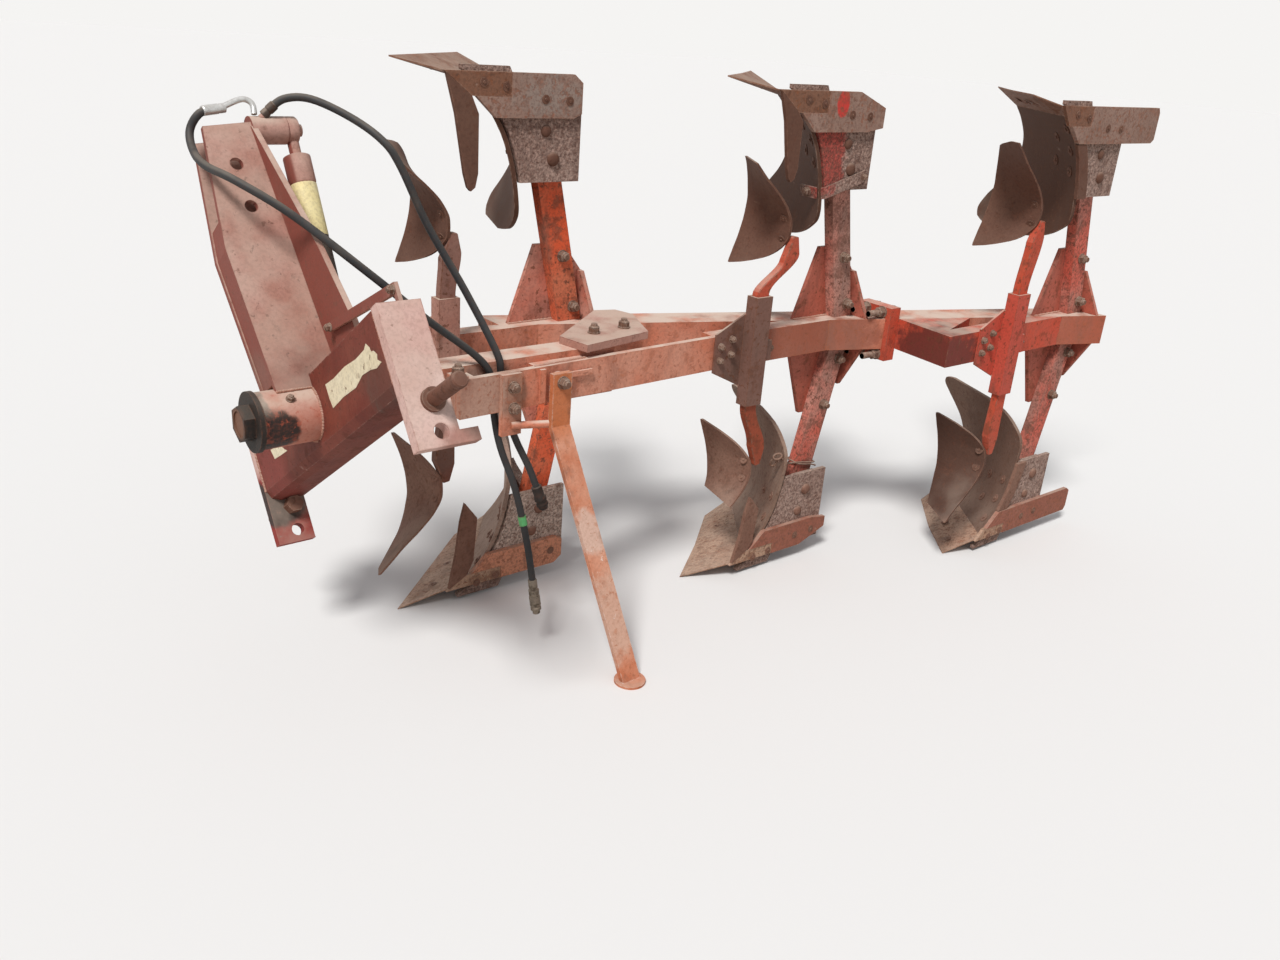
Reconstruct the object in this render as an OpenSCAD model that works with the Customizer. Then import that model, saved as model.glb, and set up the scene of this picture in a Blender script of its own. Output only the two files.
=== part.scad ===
// Three-furrow mounted reversible mouldboard plough, parked on its lower
// bodies and its stand, with the headstock rolled about the turnover axis.
// Millimetres. X points forward along the furrow, Y to the left, Z up.

/* [Layout] */
// Distance between neighbouring plough bodies along the furrow
body_spacing = 735; // [680:5:820]
// Width of one furrow, the sideways step between bodies
furrow_width = 271; // [250:1:300]
// Height of the turnover axis over the ground
axis_height = 656; // [640:1:690]
// Turnover axis, to the left of the front share's point
axis_y = 248; // [240:1:256]
// Roll of the parked headstock about the turnover axis, in degrees
park_roll = 34.8; // [10:0.1:60]

/* [Frame] */
// Height of the diagonal beam and of the furrow bars
beam_h = 86; // [76:1:96]
// Width of the diagonal beam, square to its length
diagonal_w = 93; // [80:1:100]
// Near face of the diagonal beam at a share point's line, from the body's own zero
diagonal_y = -139; // [-145:1:-133]
// Width of a furrow bar
bar_w = 50; // [40:1:56]
// Front end of the front furrow bar
front_bar_x = 20; // [0:1:40]
// Front end of the long middle bar
middle_bar_x = 9; // [0:1:40]
// Front end of the rear furrow bar, from its body's own zero
rear_bar_x = 85; // [70:1:100]
// Thickness of the middle bar's plate beside the turnover box
lead_plate_t = 16; // [12:1:20]
// Clear gap between that plate and the turnover box, where the hoses pass
hose_slot = 24; // [23:0.5:26]
// Width of the turnover box to the right of the turnover axis
box_right = 49; // [40:1:55]
// Front face of the turnover box
box_front_x = 92; // [80:1:100]
// Length of the turnover box
box_length = 522; // [480:1:560]
// Height of the turnover box
box_h = 116; // [110:1:130]
// Far end of the diagonal beam, from the rear body's own zero
diagonal_end = -560; // [-600:1:-550]
// Front end of the diagonal beam, from the front body's own zero
diagonal_front = -300; // [-320:1:-290]
// Face where the rear section is bolted on, from the middle body's own zero
flange_x = -606; // [-620:1:-600]
// Thickness of one flange plate
flange_t = 20; // [12:1:24]
// Height of the flange plates
flange_h = 150; // [140:1:170]
// How far the flange plates stand out beside the beam
flange_lip = 8; // [0:1:12]
// Bridge plate thickness
bridge_t = 18; // [10:1:24]

/* [Legs] */
// Fore and aft width of a leg
leg_w = 69; // [60:1:76]
// Thickness of a leg
leg_t = 30; // [22:1:36]
// Left face of a leg, from the body's own zero
leg_left = 3; // [0:1:8]
// Middle of the leg where it meets the beam, from the body's own zero
leg_x = -489; // [-495:1:-480]
// Lower end of a leg over the ground
leg_end_z = 140; // [120:1:150]
// Forward lean of a leg, in degrees
leg_lean = 12.5; // [10:0.1:14]
// Thickness of the gussets beside the legs
gusset_t = 12; // [8:1:14]
// Lowest point of a gusset over the ground
gusset_end_z = 421; // [400:1:460]
// Rearmost edge of a gusset, from the body's own zero
gusset_rear_x = -538; // [-550:1:-530]

/* [Bodies] */
// Plane of the frog plate's left face, from the body's own zero
wall_y = 38; // [34:1:42]
// Thickness of the frog plate
frog_t = 12; // [8:1:16]
// Height of the frog plate's upper edge
frog_top = 262; // [240:1:290]
// Rear edge of the frog plate
frog_rear_x = -471; // [-490:1:-455]
// Thickness of the mouldboards along the furrow
board_t = 13; // [8:1:16]
// Thickness of the landside bars
landside_t = 12; // [8:1:16]
// Lower edge of the lower bodies' landside bars over the ground
landside_z = 40; // [30:1:50]
// Outer edge of the upper bodies' landside bars, from their own share points' plane
landside_upper_z = 22; // [16:1:34]
// Upper edge of the landside bars
landside_top = 118; // [105:1:130]
// Rear end of the front landside bars
landside_front = -464; // [-520:1:-440]
// Rear end of the middle landside bars
landside_middle = -485; // [-520:1:-440]
// Rear end of the rear landside bars
landside_rear = -623; // [-660:1:-600]
// Wing end of the cutting edge, back from the share's point
share_wing_x = -333; // [-345:1:-320]
// Wing end of the cutting edge, to the right of the share's point
share_wing_y = -299; // [-310:1:-290]
// Thickness of a share
share_t = 9; // [6:1:12]
// Height of the knives on the front shares
front_knife_z = 275; // [250:1:290]
// Height of the knives on the middle shares
middle_knife_z = 235; // [215:1:260]
// Stay bar behind each mouldboard, height
stay_h = 16; // [12:1:24]

/* [Skims] */
// Middle of the skim stem, from the body's own zero
skim_x = -118; // [-126:1:-110]
// Fore and aft width of a skim stem
stem_w = 40; // [34:1:44]
// Thickness of a skim stem
stem_t = 22; // [18:1:26]
// Wall of the sleeve round the stem
sleeve_wall = 7; // [5:1:9]
// Height of a skim sleeve
sleeve_h = 286; // [250:1:300]
// Thickness of the sleeve's mounting plate
sleeve_plate_t = 6; // [5:1:8]
// Thickness of a skim blade along the furrow
skim_t = 8; // [6:1:10]
// Play of the stem in its sleeve
stem_play = 0.3; // [0.1:0.05:0.5]

/* [Headstock] */
// Pin line of the lower links, ahead of the front share's point
hitch_x = 256; // [245:1:270]
// Span over the outer faces of the lower link plates
link_span = 825; // [790:5:850]
// Thickness of a lower link plate
link_t = 25; // [16:1:30]
// Lower link pins below the turnover axis
pin_drop = 112; // [100:1:125]
// Diameter of the lower link pins
pin_d = 28; // [22:1:36]
// Free length of the left pin, outside its plate
pin_free = 112; // [100:1:130]
// Height of the upper link hole over the lower pins
mast_height = 622; // [600:1:640]
// Diameter of the upper link holes
top_hole_d = 25.5; // [19:0.5:32]
// Distance between the two upper link holes
top_hole_step = 90; // [80:1:100]
// Thickness of a mast cheek
cheek_t = 12; // [10:1:16]
// Clear gap between the mast cheeks
mast_gap = 58; // [52:1:76]
// Half of the crossbar's height above and below its middle
crossbar_h = 160; // [150:1:170]
// Height of the crossbar's middle over the turnover axis
crossbar_u = -14; // [-20:1:-8]
// Fore and aft depth of the crossbar
crossbar_d = 81; // [74:1:86]
// Outer diameter of the hub tube
hub_d = 112; // [104:1:120]
// Front end of the hub tube, ahead of the pin line
hub_front = 159; // [150:1:170]
// Rear end of the hub tube, behind the pin line
hub_rear = 48; // [42:1:52]
// Diameter of the turnover shaft
shaft_d = 50; // [44:1:54]
// Running gap between shaft and hub
shaft_gap = 0.05; // [0.02:0.01:0.1]

/* [Turnover cylinder] */
// Pivot of the cylinder behind the pin line
cyl_x = -68; // [-72:1:-67]
// Pivot of the cylinder beside the mast's middle plane
cyl_l = 20; // [10:1:30]
// Pivot of the cylinder over the turnover axis
cyl_u = 592; // [580:1:600]
// Radius of the lug's pin round the turnover axis
lug_r = 60; // [56:1:66]
// Outer diameter of the barrel
barrel_d = 56; // [50:1:60]
// Length of the barrel from its pivot
barrel_len = 400; // [380:5:420]
// Diameter of the rod
rod_d = 32; // [28:1:32]
// Diameter of the cylinder's pins
cyl_pin_d = 25; // [20:1:28]

/* [Stand] */
// Middle of the stand on the middle bar
stand_x = -243; // [-250:1:-235]
// Fore and aft width of the stand bar
stand_w = 50; // [40:1:55]
// Thickness of the stand bar
stand_t = 15; // [10:1:16]
// Height of the stand's bolt over the ground
stand_bolt_z = 664; // [655:1:680]
// Height where the stand bends outwards
stand_bend_z = 560; // [540:5:575]
// Sideways reach of the foot from the stand's upper part
stand_reach = 250; // [235:1:265]
// Rearward reach of the foot
stand_rake = 55; // [45:1:65]

/* [Hoses] */
// Outer diameter of the hoses
hose_d = 16; // [14:0.5:20]
// Outer diameter of the bent pipe on the mast's top
pipe_d = 12; // [10:0.5:15]

/* [Hidden] */
$fn = 48;

FADED = [0.72, 0.47, 0.40];
VIVID = [0.80, 0.27, 0.16];
WORN = [0.62, 0.35, 0.25];
STEEL = [0.42, 0.32, 0.27];
DARK = [0.18, 0.16, 0.15];

beam_z0 = axis_height - beam_h / 2;
diagonal_angle = atan(furrow_width / body_spacing);
diagonal_dy = diagonal_w / cos(diagonal_angle);
// Routes of the pipe and the two hoses. Each point: share of the way from the slot beside the
// turnover box up to the mast's top, then X, Y and Z from there in axes rolled by that share
HOSE_PIPE = [[1, 6, 40, 26], [1, 6, 43, 49], [1, 26, 43, 57], [1, 69, 35, 42]];
FRONT_HOSE = [[1, 72, 34, 41], [1, 111, 36, 31], [1, 132, 15, 6], [1, 139, 20, -39],
    [0.9, 175, 63, -29], [0.8, 183, 129, -24], [0.65, 155, 149, -2], [0.45, 94, 153, -7],
    [0.25, 54, 79, 28], [0.1, 15, 35, 38], [0, 10, 0, 44], [0, -2, 0, -6], [0, -6, 0, -61],
    [0, -20, 6, -136], [0, -48, 28, -236], [0, -72, 46, -366], [0, -88, 56, -486]];
REAR_HOSE = [[1, -20, 48, 29], [1, -51, 71, 44], [1, -96, 97, 30], [0.95, -134, 129, 6],
    [0.9, -156, 157, -23], [0.85, -166, 151, -41], [0.6, -123, 104, 5], [0.35, -91, 67, 22],
    [0.1, -45, 35, 33], [0, -20, 0, 39], [0, -30, 0, -16], [0, -38, 0, -61], [0, -60, 7, -126],
    [0, -90, 20, -196], [0, -114, 28, -264]];
// The drawn origin is the middle of the footprint
nut_end = 33;
x_max = hitch_x + hub_front + nut_end;
x_min = landside_rear - 2 * body_spacing;
pin_tip_l = link_span / 2 + pin_free;
y_max = axis_y + pin_tip_l * cos(park_roll) + (pin_drop + pin_d / 2) * sin(park_roll);
y_min = -402;
eps = 0.3;

// Half-way point of the plan, where the drawn origin lies
module placed() translate([-(x_max + x_min) / 2, -(y_max + y_min) / 2, 0]) children();
// One body's own zero, at its share's point
module at_body(k) translate([-k * body_spacing, k * furrow_width, 0]) children();
// The lower body and its mirror image over the turnover axis
module both_sides() {
    let ($upper = false) children();
    let ($upper = true) translate([0, 0, 2 * axis_height]) mirror([0, 0, 1]) children();
}
// The headstock's own axes: X forward, Y along the crossbar, Z up the mast
module headstock() translate([hitch_x, axis_y, axis_height]) rotate([park_roll, 0, 0]) children();
// A plate drawn in X and Z, from y = y1 down to y1 - t
module side_plate(y1, t) translate([0, y1, 0]) rotate([90, 0, 0]) linear_extrude(t) children();
// A plate drawn in Y and Z, from x = x0 on to x0 + t
module cross_plate(x0, t) translate([x0, 0, 0]) rotate([90, 0, 90]) linear_extrude(t) children();

// Near and far face of the diagonal beam, from a body's own zero
function diagonal_near(x) = diagonal_y - x * furrow_width / body_spacing;
function diagonal_far(x) = diagonal_near(x) - diagonal_dy;
function diagonal_x(y) = (diagonal_y - y) * body_spacing / furrow_width;

// A curved board from rows of straight level lines. Each row has
// [height, x of the near end, y of the near end, x of the far end, y of the far end]
function row_point(r, s) = [r[1] + (r[3] - r[1]) * s, r[2] + (r[4] - r[2]) * s, r[0]];
module board(rows, t, steps) {
    n = steps + 1;
    m = len(rows);
    front = [for (r = rows) for (j = [0:steps]) row_point(r, j / steps)];
    back = [for (p = front) p - [t, 0, 0]];
    b = n * m;
    quads = [for (i = [0:m - 2]) for (j = [0:steps - 1])
        [i * n + j, i * n + j + 1, (i + 1) * n + j + 1, (i + 1) * n + j]];
    faces = concat(
        [for (q = quads) [q[0], q[2], q[1]]],
        [for (q = quads) [q[0], q[3], q[2]]],
        [for (q = quads) [q[0] + b, q[1] + b, q[2] + b]],
        [for (q = quads) [q[0] + b, q[2] + b, q[3] + b]],
        [for (j = [0:steps - 1]) [j, j + 1, j + 1 + b, j + b]],
        [for (j = [0:steps - 1]) let (a = (m - 1) * n) [a + j + 1, a + j, a + j + b, a + j + 1 + b]],
        [for (i = [0:m - 2]) [(i + 1) * n, i * n, i * n + b, (i + 1) * n + b]],
        [for (i = [0:m - 2]) let (a = steps) [i * n + a, (i + 1) * n + a, (i + 1) * n + a + b, i * n + a + b]]);
    polyhedron(points = concat(front, back), faces = faces, convexity = 4);
}

// Mouldboard lines: [height, x at the wall, where the outline starts in y,
// angle of the line to the furrow wall, where the outline ends in y]
BOARD = [
    [50, -170, wall_y, 52, -285],
    [85, -204, wall_y, 51.5, -290],
    [122, -233, wall_y, 51.5, -295],
    [165, -257, wall_y, 52.5, -300],
    [210, -273, wall_y, 55, -306],
    [255, -284, wall_y, 57.5, -330],
    [295, -290, wall_y, 60, -368],
    [330, -293, wall_y - 8, 62.5, -395],
    [362, -293, -10, 65, -402],
    [388, -291, -70, 66.5, -385],
    [402, -288, -150, 67.5, -335]];
function board_x(r, y) = r[1] - (wall_y - y) / tan(r[3]);
function board_row(z) = [for (i = [0:4]) lookup(z, [for (r = BOARD) [r[0], r[i]]])];
BOARD_ROWS = [for (r = BOARD) [r[0], board_x(r, r[2]), r[2], board_x(r, r[4]), r[4]]];

module mouldboard() board(BOARD_ROWS, board_t, 6);
module mouldboards(k) color(STEEL) placed() at_body(k) both_sides() mouldboard();
module front_mouldboards() mouldboards(0);
module middle_mouldboards() mouldboards(1);
module rear_mouldboards() mouldboards(2);

// The share: a sloping plate between the cutting edge and the mouldboard,
// and the upright cheek that slides along the furrow wall
share_back_z = BOARD[0][0];
share_cheek_t = landside_t - 2;
function foot() = $upper ? landside_upper_z : landside_z;
module share(tip_x, tip_y) {
    r = BOARD_ROWS[0];
    corner_x = cheek_corner(tip_x);
    // Cutting edge and joint, from the furrow wall out to the wing
    edge = [[corner_x, wall_y + 1, foot()], [tip_x, tip_y, 0],
        [share_wing_x / 2 + tip_x / 4, share_wing_y / 2 + tip_y / 4, 0], [share_wing_x, share_wing_y, 0]];
    joint = [for (s = [0, 0.18, 0.55, 1]) let (p = row_point(r, s)) [p[0] + eps, p[1] + (s == 0 ? 1 : 0), share_back_z]];
    n = len(edge);
    quads = concat([for (i = [0:n - 2]) each [[i, i + 1, i + 1 + n, i + n],
        [i + 2 * n, i + 3 * n, i + 1 + 3 * n, i + 1 + 2 * n], [i + 1, i, i + 2 * n, i + 1 + 2 * n],
        [i + n, i + 1 + n, i + 1 + 3 * n, i + 3 * n]]],
        [[0, n, 3 * n, 2 * n], [2 * n - 1, n - 1, 3 * n - 1, 4 * n - 1]]);
    polyhedron(convexity = 4, faces = [for (q = quads) each [[q[0], q[1], q[2]], [q[0], q[2], q[3]]]],
        points = concat([for (p = edge) p + [0, 0, 3]], joint, edge, [for (p = joint) p - [0, 0, share_t]]));
    side_plate(wall_y + share_cheek_t, share_cheek_t)
        polygon([[corner_x, foot()], [cheek_knee_x, share_cheek_z],
            [share_cheek_end, share_cheek_z], [share_cheek_end, foot()]]);
}
share_cheek_z = 73;
cheek_knee_x = -172;
share_cheek_end = -272;
module shares(k, tip_x, tip_y) color(WORN) placed() at_body(k) both_sides() share(tip_x, tip_y);
module front_shares() shares(0, 0, 0);
module middle_shares() shares(1, 0, -30);
module rear_shares() shares(2, -55, -3);

// Knives that stand on the front and middle shares, and the shin strips of the rear ones
function cheek_corner(tip_x) = tip_x / 2 - 92 - foot() / 2;
function cheek_edge(x) = foot() + (cheek_corner(0) - x) * (share_cheek_z - foot()) / (cheek_corner(0) - cheek_knee_x);
KNIFE = [[-140, 0.5], [-152, 0.82], [-165, 1], [-200, 0.83], [-190, 0.4]];
KNIFE_UPPER = [[-132, 0.4], [-154, 0.86], [-163, 0.97], [-171, 1], [-182, 0.97], [-189, 0.86], [-189, 0.4]];
module knife(top_z) side_plate(wall_y + share_cheek_t, share_cheek_t)
    let (x0 = $upper ? cheek_corner(0) - 6 : cheek_knee_x + 52)
    polygon(concat([[x0, cheek_edge(x0) + 2 * eps]],
        [for (p = $upper ? KNIFE_UPPER : KNIFE) [p[0], p[1] * top_z]],
        [[cheek_knee_x, share_cheek_z + 2 * eps]]));
module shin_strip() side_plate(wall_y + share_cheek_t, share_cheek_t)
    polygon(concat([for (z = [landside_top + 2:36:frog_top + 2]) [board_row(z)[1], z]],
        [for (z = [frog_top + 2:-36:landside_top + 2]) [board_row(z)[1] - 44, z]]));
module share_knives() color(WORN) placed() {
    at_body(0) both_sides() knife(front_knife_z);
    at_body(1) both_sides() knife(middle_knife_z);
    at_body(2) both_sides() shin_strip();
}

// The frog: a wall plate whose front edge follows the mouldboard, a block
// between it and the leg, and a stay out to the mouldboard's wing
frog_in_y = wall_y - frog_t;
function frog_front(z) = board_x(board_row(z), frog_in_y) - board_t - 2 * eps;
module frog() {
    side_plate(wall_y, frog_t)
        polygon(concat([for (z = [share_back_z:35.3:frog_top]) [frog_front(z), z]],
            [[frog_front(frog_top), frog_top], [frog_rear_x, frog_top],
            [frog_rear_x, landside_z + 8], [share_cheek_end - 20, landside_z + 8], [share_cheek_end, 10],
            [-150, 10], [-150, 20], [frog_front(share_back_z), share_back_z - share_t - 6]]));
    side_plate(frog_in_y, frog_in_y - leg_left)
        polygon([[leg_mid(250) + leg_w / 2 + 10, 250], [leg_mid(250) - leg_w / 2 - 10, 250],
            [frog_rear_x, 150], [frog_rear_x, 120], [-330, 120], [-330, 190]]);
    stay_z = 214;
    stay_in = leg_left - leg_t;
    function pad_x(y) = board_x(board_row(stay_z), y) - board_t - 2 * eps;
    translate([0, 0, stay_z]) linear_extrude(stay_h)
        polygon([[leg_mid(stay_z) + 12, stay_in], [leg_mid(stay_z) - 16, stay_in], [pad_x(-200) - 24, -200],
            [pad_x(-250) - 10, -250], [pad_x(-250), -250], [pad_x(-190), -190]]);
}
module frogs() color(WORN) placed() for (k = [0:2]) at_body(k) both_sides() frog();

module landside(end_x, worn) side_plate(wall_y + landside_t, landside_t)
    polygon([[-182, share_cheek_z + eps], [share_cheek_end - eps, share_cheek_z + eps],
        [share_cheek_end - eps, foot()], [end_x + 2 * worn, foot()], [end_x, foot() + 12 + worn / 2],
        [end_x, landside_top - 10], [end_x + 10 + worn, landside_top], [-232, landside_top]]);
module landsides() color(WORN) placed() {
    at_body(0) both_sides() landside(landside_front, 12);
    at_body(1) both_sides() landside(landside_middle, 50);
    at_body(2) both_sides() landside(landside_rear, 4);
}

// Legs and what holds them to the beam
function leg_mid(z) = leg_x + (beam_z0 - z) * tan(leg_lean);
module leg() side_plate(leg_left, leg_t)
    polygon([for (p = [[beam_z0, 1], [beam_z0, -1], [leg_end_z, -1], [leg_end_z, 1]])
        [leg_mid(p[0]) + p[1] * leg_w / 2, p[0]]]);
module legs(k, tint) color(tint) placed() at_body(k) both_sides() leg();
module front_legs() legs(0, VIVID);
module middle_legs() legs(1, VIVID);
module rear_legs() legs(2, WORN);

rib_end_z = gusset_end_z + 72;
module leg_gusset() {
    gusset_left = leg_left - leg_t;
    side_plate(gusset_left, gusset_t)
        polygon([[leg_x + 164, beam_z0], [leg_x + 93, gusset_end_z],
            [leg_mid(gusset_end_z) - leg_w / 2, gusset_end_z], [gusset_rear_x, rib_end_z], [gusset_rear_x, beam_z0]]);
    cross_plate(gusset_rear_x, gusset_t)
        polygon([[gusset_left, beam_z0], [diagonal_near(gusset_rear_x + gusset_t), beam_z0],
            [gusset_left + 16, rib_end_z], [gusset_left, rib_end_z]]);
}
module leg_gussets() color(WORN) placed() for (k = [0:2]) at_body(k) both_sides() leg_gusset();

// Frame
// Left face of each body's furrow bar, and its skim sleeve's seat, from the body's own zero
bar_left = [6, 17, 12];
// A furrow bar in plan: from its front end back to the diagonal beam's near face
module bar_plan(x0, left) polygon([[x0, left], [x0, left - bar_w],
    [diagonal_x(left - bar_w), left - bar_w], [diagonal_x(left), left]]);
module bar(k, x0) color(k == 2 ? VIVID : WORN) placed() at_body(k)
    translate([0, 0, beam_z0]) linear_extrude(beam_h) bar_plan(x0, bar_left[k]);
module front_bar() bar(0, front_bar_x);
module rear_bar() bar(2, rear_bar_x);
// The middle bar's plate toes out a little to its front end, and its rear part is a box
lead_y = furrow_width + bar_left[1];
lead_front_y = lead_y + 28;
lead_x1 = -body_spacing;
function lead_left(x) = lead_y + (x - lead_x1) * (lead_front_y - lead_y) / (middle_bar_x - lead_x1);
module middle_bar() color(WORN) placed() translate([0, 0, beam_z0]) linear_extrude(beam_h) polygon([
    [lead_x1, lead_y], [middle_bar_x, lead_front_y], [middle_bar_x, lead_front_y - lead_plate_t],
    [lead_x1, lead_y - lead_plate_t], [lead_x1, lead_y - bar_w],
    [diagonal_x(bar_left[1] - bar_w) - body_spacing, lead_y - bar_w],
    [diagonal_x(bar_left[1]) - body_spacing, lead_y]]);

// The turnover box, with the blocks that join it to the middle bar's plate
box_back_x = box_front_x - box_length;
slot_x = -150;
box_left_y = lead_left(slot_x) - lead_plate_t - hose_slot;
module turnover_box() color(WORN) placed() {
    translate([0, 0, axis_height - box_h / 2]) linear_extrude(box_h)
        polygon([[box_front_x, axis_y - box_right], [box_front_x, box_left_y],
            [box_back_x, box_left_y], [box_back_x, axis_y - box_right]]);
    for (x = [[middle_bar_x, -34], [-190, -330]]) translate([0, 0, beam_z0]) linear_extrude(beam_h)
        polygon([[x[0], box_left_y], [x[0], lead_left(x[0]) - lead_plate_t - eps],
            [x[1], lead_left(x[1]) - lead_plate_t - eps], [x[1], box_left_y]]);
}
// The bridge plate ties the turnover box to the diagonal beam
bridge_foot_h = (box_h - beam_h) / 2;
module bridge_plate() color(FADED) placed() {
    translate([0, 0, axis_height + box_h / 2]) linear_extrude(bridge_t)
        polygon([for (p = [[118, -35], [103, 54], [-102, 19], [-170, -128], [-155, -182], [-100, -198]])
            [box_back_x + p[0], axis_y + p[1]]]);
    translate([0, 0, axis_height + beam_h / 2]) linear_extrude(bridge_foot_h)
        polygon([for (p = [[110, 2], [166, 2], [162, 70], [110, 68]])
            [box_back_x - p[0], diagonal_near(box_back_x - p[0]) - p[1]]]);
}
module diagonal_beam() color(WORN) placed() translate([0, 0, beam_z0]) linear_extrude(beam_h) {
    at_body(0) diagonal_plan(diagonal_front, flange_x - body_spacing + flange_t);
    at_body(2) diagonal_plan(flange_x + body_spacing - flange_t, diagonal_end);
}
module diagonal_plan(x0, x1) polygon([[x0, diagonal_near(x0)], [x0, diagonal_far(x0)],
    [x1, diagonal_far(x1)], [x1, diagonal_near(x1)]]);
// The cross member carries the rear bar's front end, from the rear flange
cross_w = 46;
cross_x = flange_x + body_spacing - flange_t - eps;
cross_end_y = bar_left[2] - bar_w - 60;
module rear_cross_member() color(VIVID) placed() at_body(2) translate([0, 0, beam_z0])
    linear_extrude(beam_h) polygon([
        [cross_x, diagonal_near(cross_x) + eps],
        [rear_bar_x + cross_w, bar_left[2]], [rear_bar_x, bar_left[2]],
        [rear_bar_x, bar_left[2] - bar_w], [rear_bar_x - 20, bar_left[2] - bar_w],
        [diagonal_x(cross_end_y) + 3 * eps, cross_end_y]]);
module flanges() color(VIVID) placed() at_body(1) for (i = [0, 1])
    translate([flange_x + (i == 0 ? eps : -flange_t), diagonal_far(flange_x) - flange_lip, axis_height - flange_h / 2])
        cube([flange_t - (i == 0 ? eps : 0), diagonal_dy + 2 * flange_lip, flange_h]);

// Skims
sleeve_x = stem_w + 2 * (sleeve_wall + stem_play);
sleeve_y = stem_t + 2 * (sleeve_wall + stem_play);
// Right face of the sleeve and of the stem, from the body's own zero
function sleeve_y0(k) = bar_left[k] + sleeve_plate_t;
function stem_y0(k) = sleeve_y0(k) + sleeve_wall + stem_play;
module skim_sleeve(k) {
    translate([skim_x - sleeve_x / 2, sleeve_y0(k), axis_height - sleeve_h / 2]) difference() {
        cube([sleeve_x, sleeve_y, sleeve_h]);
        translate([sleeve_wall, sleeve_wall, -1])
            cube([stem_w + 2 * stem_play, stem_t + 2 * stem_play, sleeve_h + 2]);
    }
    side_plate(sleeve_y0(k), sleeve_plate_t - eps) for (s = [1, -1])
        polygon([for (p = [[skim_x + 120, 0], [skim_x + 120, 50], [skim_x + 26, 95], [skim_x - 28, 95], [skim_x - 28, 0]])
            [p[0], axis_height + s * p[1]]]);
    // Clamp lug on the rear of the sleeve
    translate([skim_x - sleeve_x / 2 - 22, sleeve_y0(k), axis_height - 26]) cube([22, sleeve_y - 6, 52]);
}
module skim_sleeves() color(WORN) placed() for (k = [0:2]) at_body(k) skim_sleeve(k);

// Skim blade lines: [height, x of the near edge, its y, x of the far edge, its y]
skim_wall = 46;
SKIM = [
    [138, 73, skim_wall, 56, skim_wall - 34],
    [160, 48, skim_wall, -32, -76],
    [195, 10, skim_wall, -60, -92],
    [232, -36, skim_wall, -75, -100],
    [272, -75, skim_wall, -83, -104],
    [310, -94, skim_wall, -81, -107],
    [345, -96, skim_wall - 8, -75, -110],
    [375, -84, 18, -67, -112],
    [402, -64, -42, -57, -114],
    [422, -50, -86, -47, -112]];
// Each skim as it is set and worn, lower one first:
// [step along the furrow, step in height, first of the blade's lines that is left]
SKIM_SET = [[[0, 0, 0], [-18, 25, 0]], [[-52, -8, 3], [-95, 28, 1]], [[-5, -15, 1], [-28, -25, 0]]];
function skim_at(k) = SKIM_SET[k][$upper ? 1 : 0];
function skim_near(z, y) = let (r = [for (i = [0:4]) lookup(z, [for (q = SKIM) [q[0], q[i]]])])
    r[1] + (r[3] - r[1]) * (r[2] - y) / (r[2] - r[4]);
module skim_blade(k) let (a = skim_at(k)) translate([a[0], 0, a[1]])
    board([for (i = [a[2]:len(SKIM) - 1]) SKIM[i]], skim_t, 5);
module skims(k) color(STEEL) placed() at_body(k) both_sides() skim_blade(k);
module front_skims() skims(0);
module middle_skims() skims(1);
module rear_skims() skims(2);
// The stem runs down inside its sleeve, then steps behind the blade
module skim_stem(k) {
    a = skim_at(k);
    y0 = stem_y0(k);
    x0 = skim_x + stem_w / 2;
    x1 = skim_x - stem_w / 2;
    function behind(z) = a[0] + min(skim_near(z, y0), skim_near(z, y0 + stem_t)) - skim_t - 2 * eps;
    seat_z = [240, 252, 272, 290, 310, 328, 345, 360, 378];
    side_plate(y0 + stem_t, stem_t) difference() {
        polygon([[x0, axis_height - 6], [x0, a[1] + 410], [behind(335) + 12, a[1] + 350], [behind(290) + 12, a[1] + 290],
            [behind(250) + 12, a[1] + 250], [behind(250) - 16, a[1] + 246], [behind(290) - 26, a[1] + 285],
            [min(x1, behind(290) - 26), a[1] + 382], [x1, a[1] + 428], [x1, axis_height - 6]]);
        polygon(concat([for (z = seat_z) [behind(z), a[1] + z]],
            [for (z = [seat_z[len(seat_z) - 1], seat_z[0]]) [behind(345) + 90, a[1] + z]]));
    }
}
module skim_stems() color(VIVID) placed() for (k = [0:2]) at_body(k) both_sides() skim_stem(k);

// Turnover shaft, with the lug that the cylinder's rod pulls on
lug_plate_t = 16;
lug_hub_d = 88;
lug_w = 44;
lug_x1 = hitch_x + cyl_x - rod_d / 2 - 1;
rest_angle = 180 - park_roll;
lug_l = lug_r * cos(rest_angle);
lug_u = lug_r * sin(rest_angle);
lug_hole_d = cyl_pin_d + 1;
module turnover_shaft() color(DARK) placed() {
    translate([box_front_x + eps, axis_y, axis_height]) rotate([0, 90, 0])
        cylinder(d = shaft_d, h = hitch_x + hub_front + nut_end - 3 - box_front_x);
    translate([lug_x1 - lug_plate_t, axis_y, axis_height]) rotate([0, 90, 0]) difference() {
        union() {
            cylinder(d = lug_hub_d, h = lug_plate_t);
            translate([-lug_w / 2, -lug_r, 0]) cube([lug_w, lug_r, lug_plate_t]);
            translate([0, -lug_r, 0]) cylinder(d = lug_w, h = lug_plate_t);
        }
        translate([0, 0, -1]) cylinder(d = shaft_d - 2, h = lug_plate_t + 2);
        translate([0, -lug_r, -1]) cylinder(d = lug_hole_d, h = lug_plate_t + 2);
    }
}
nut_disc_d = 120;
nut_disc_t = 10;
nut_d = 74;
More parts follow.
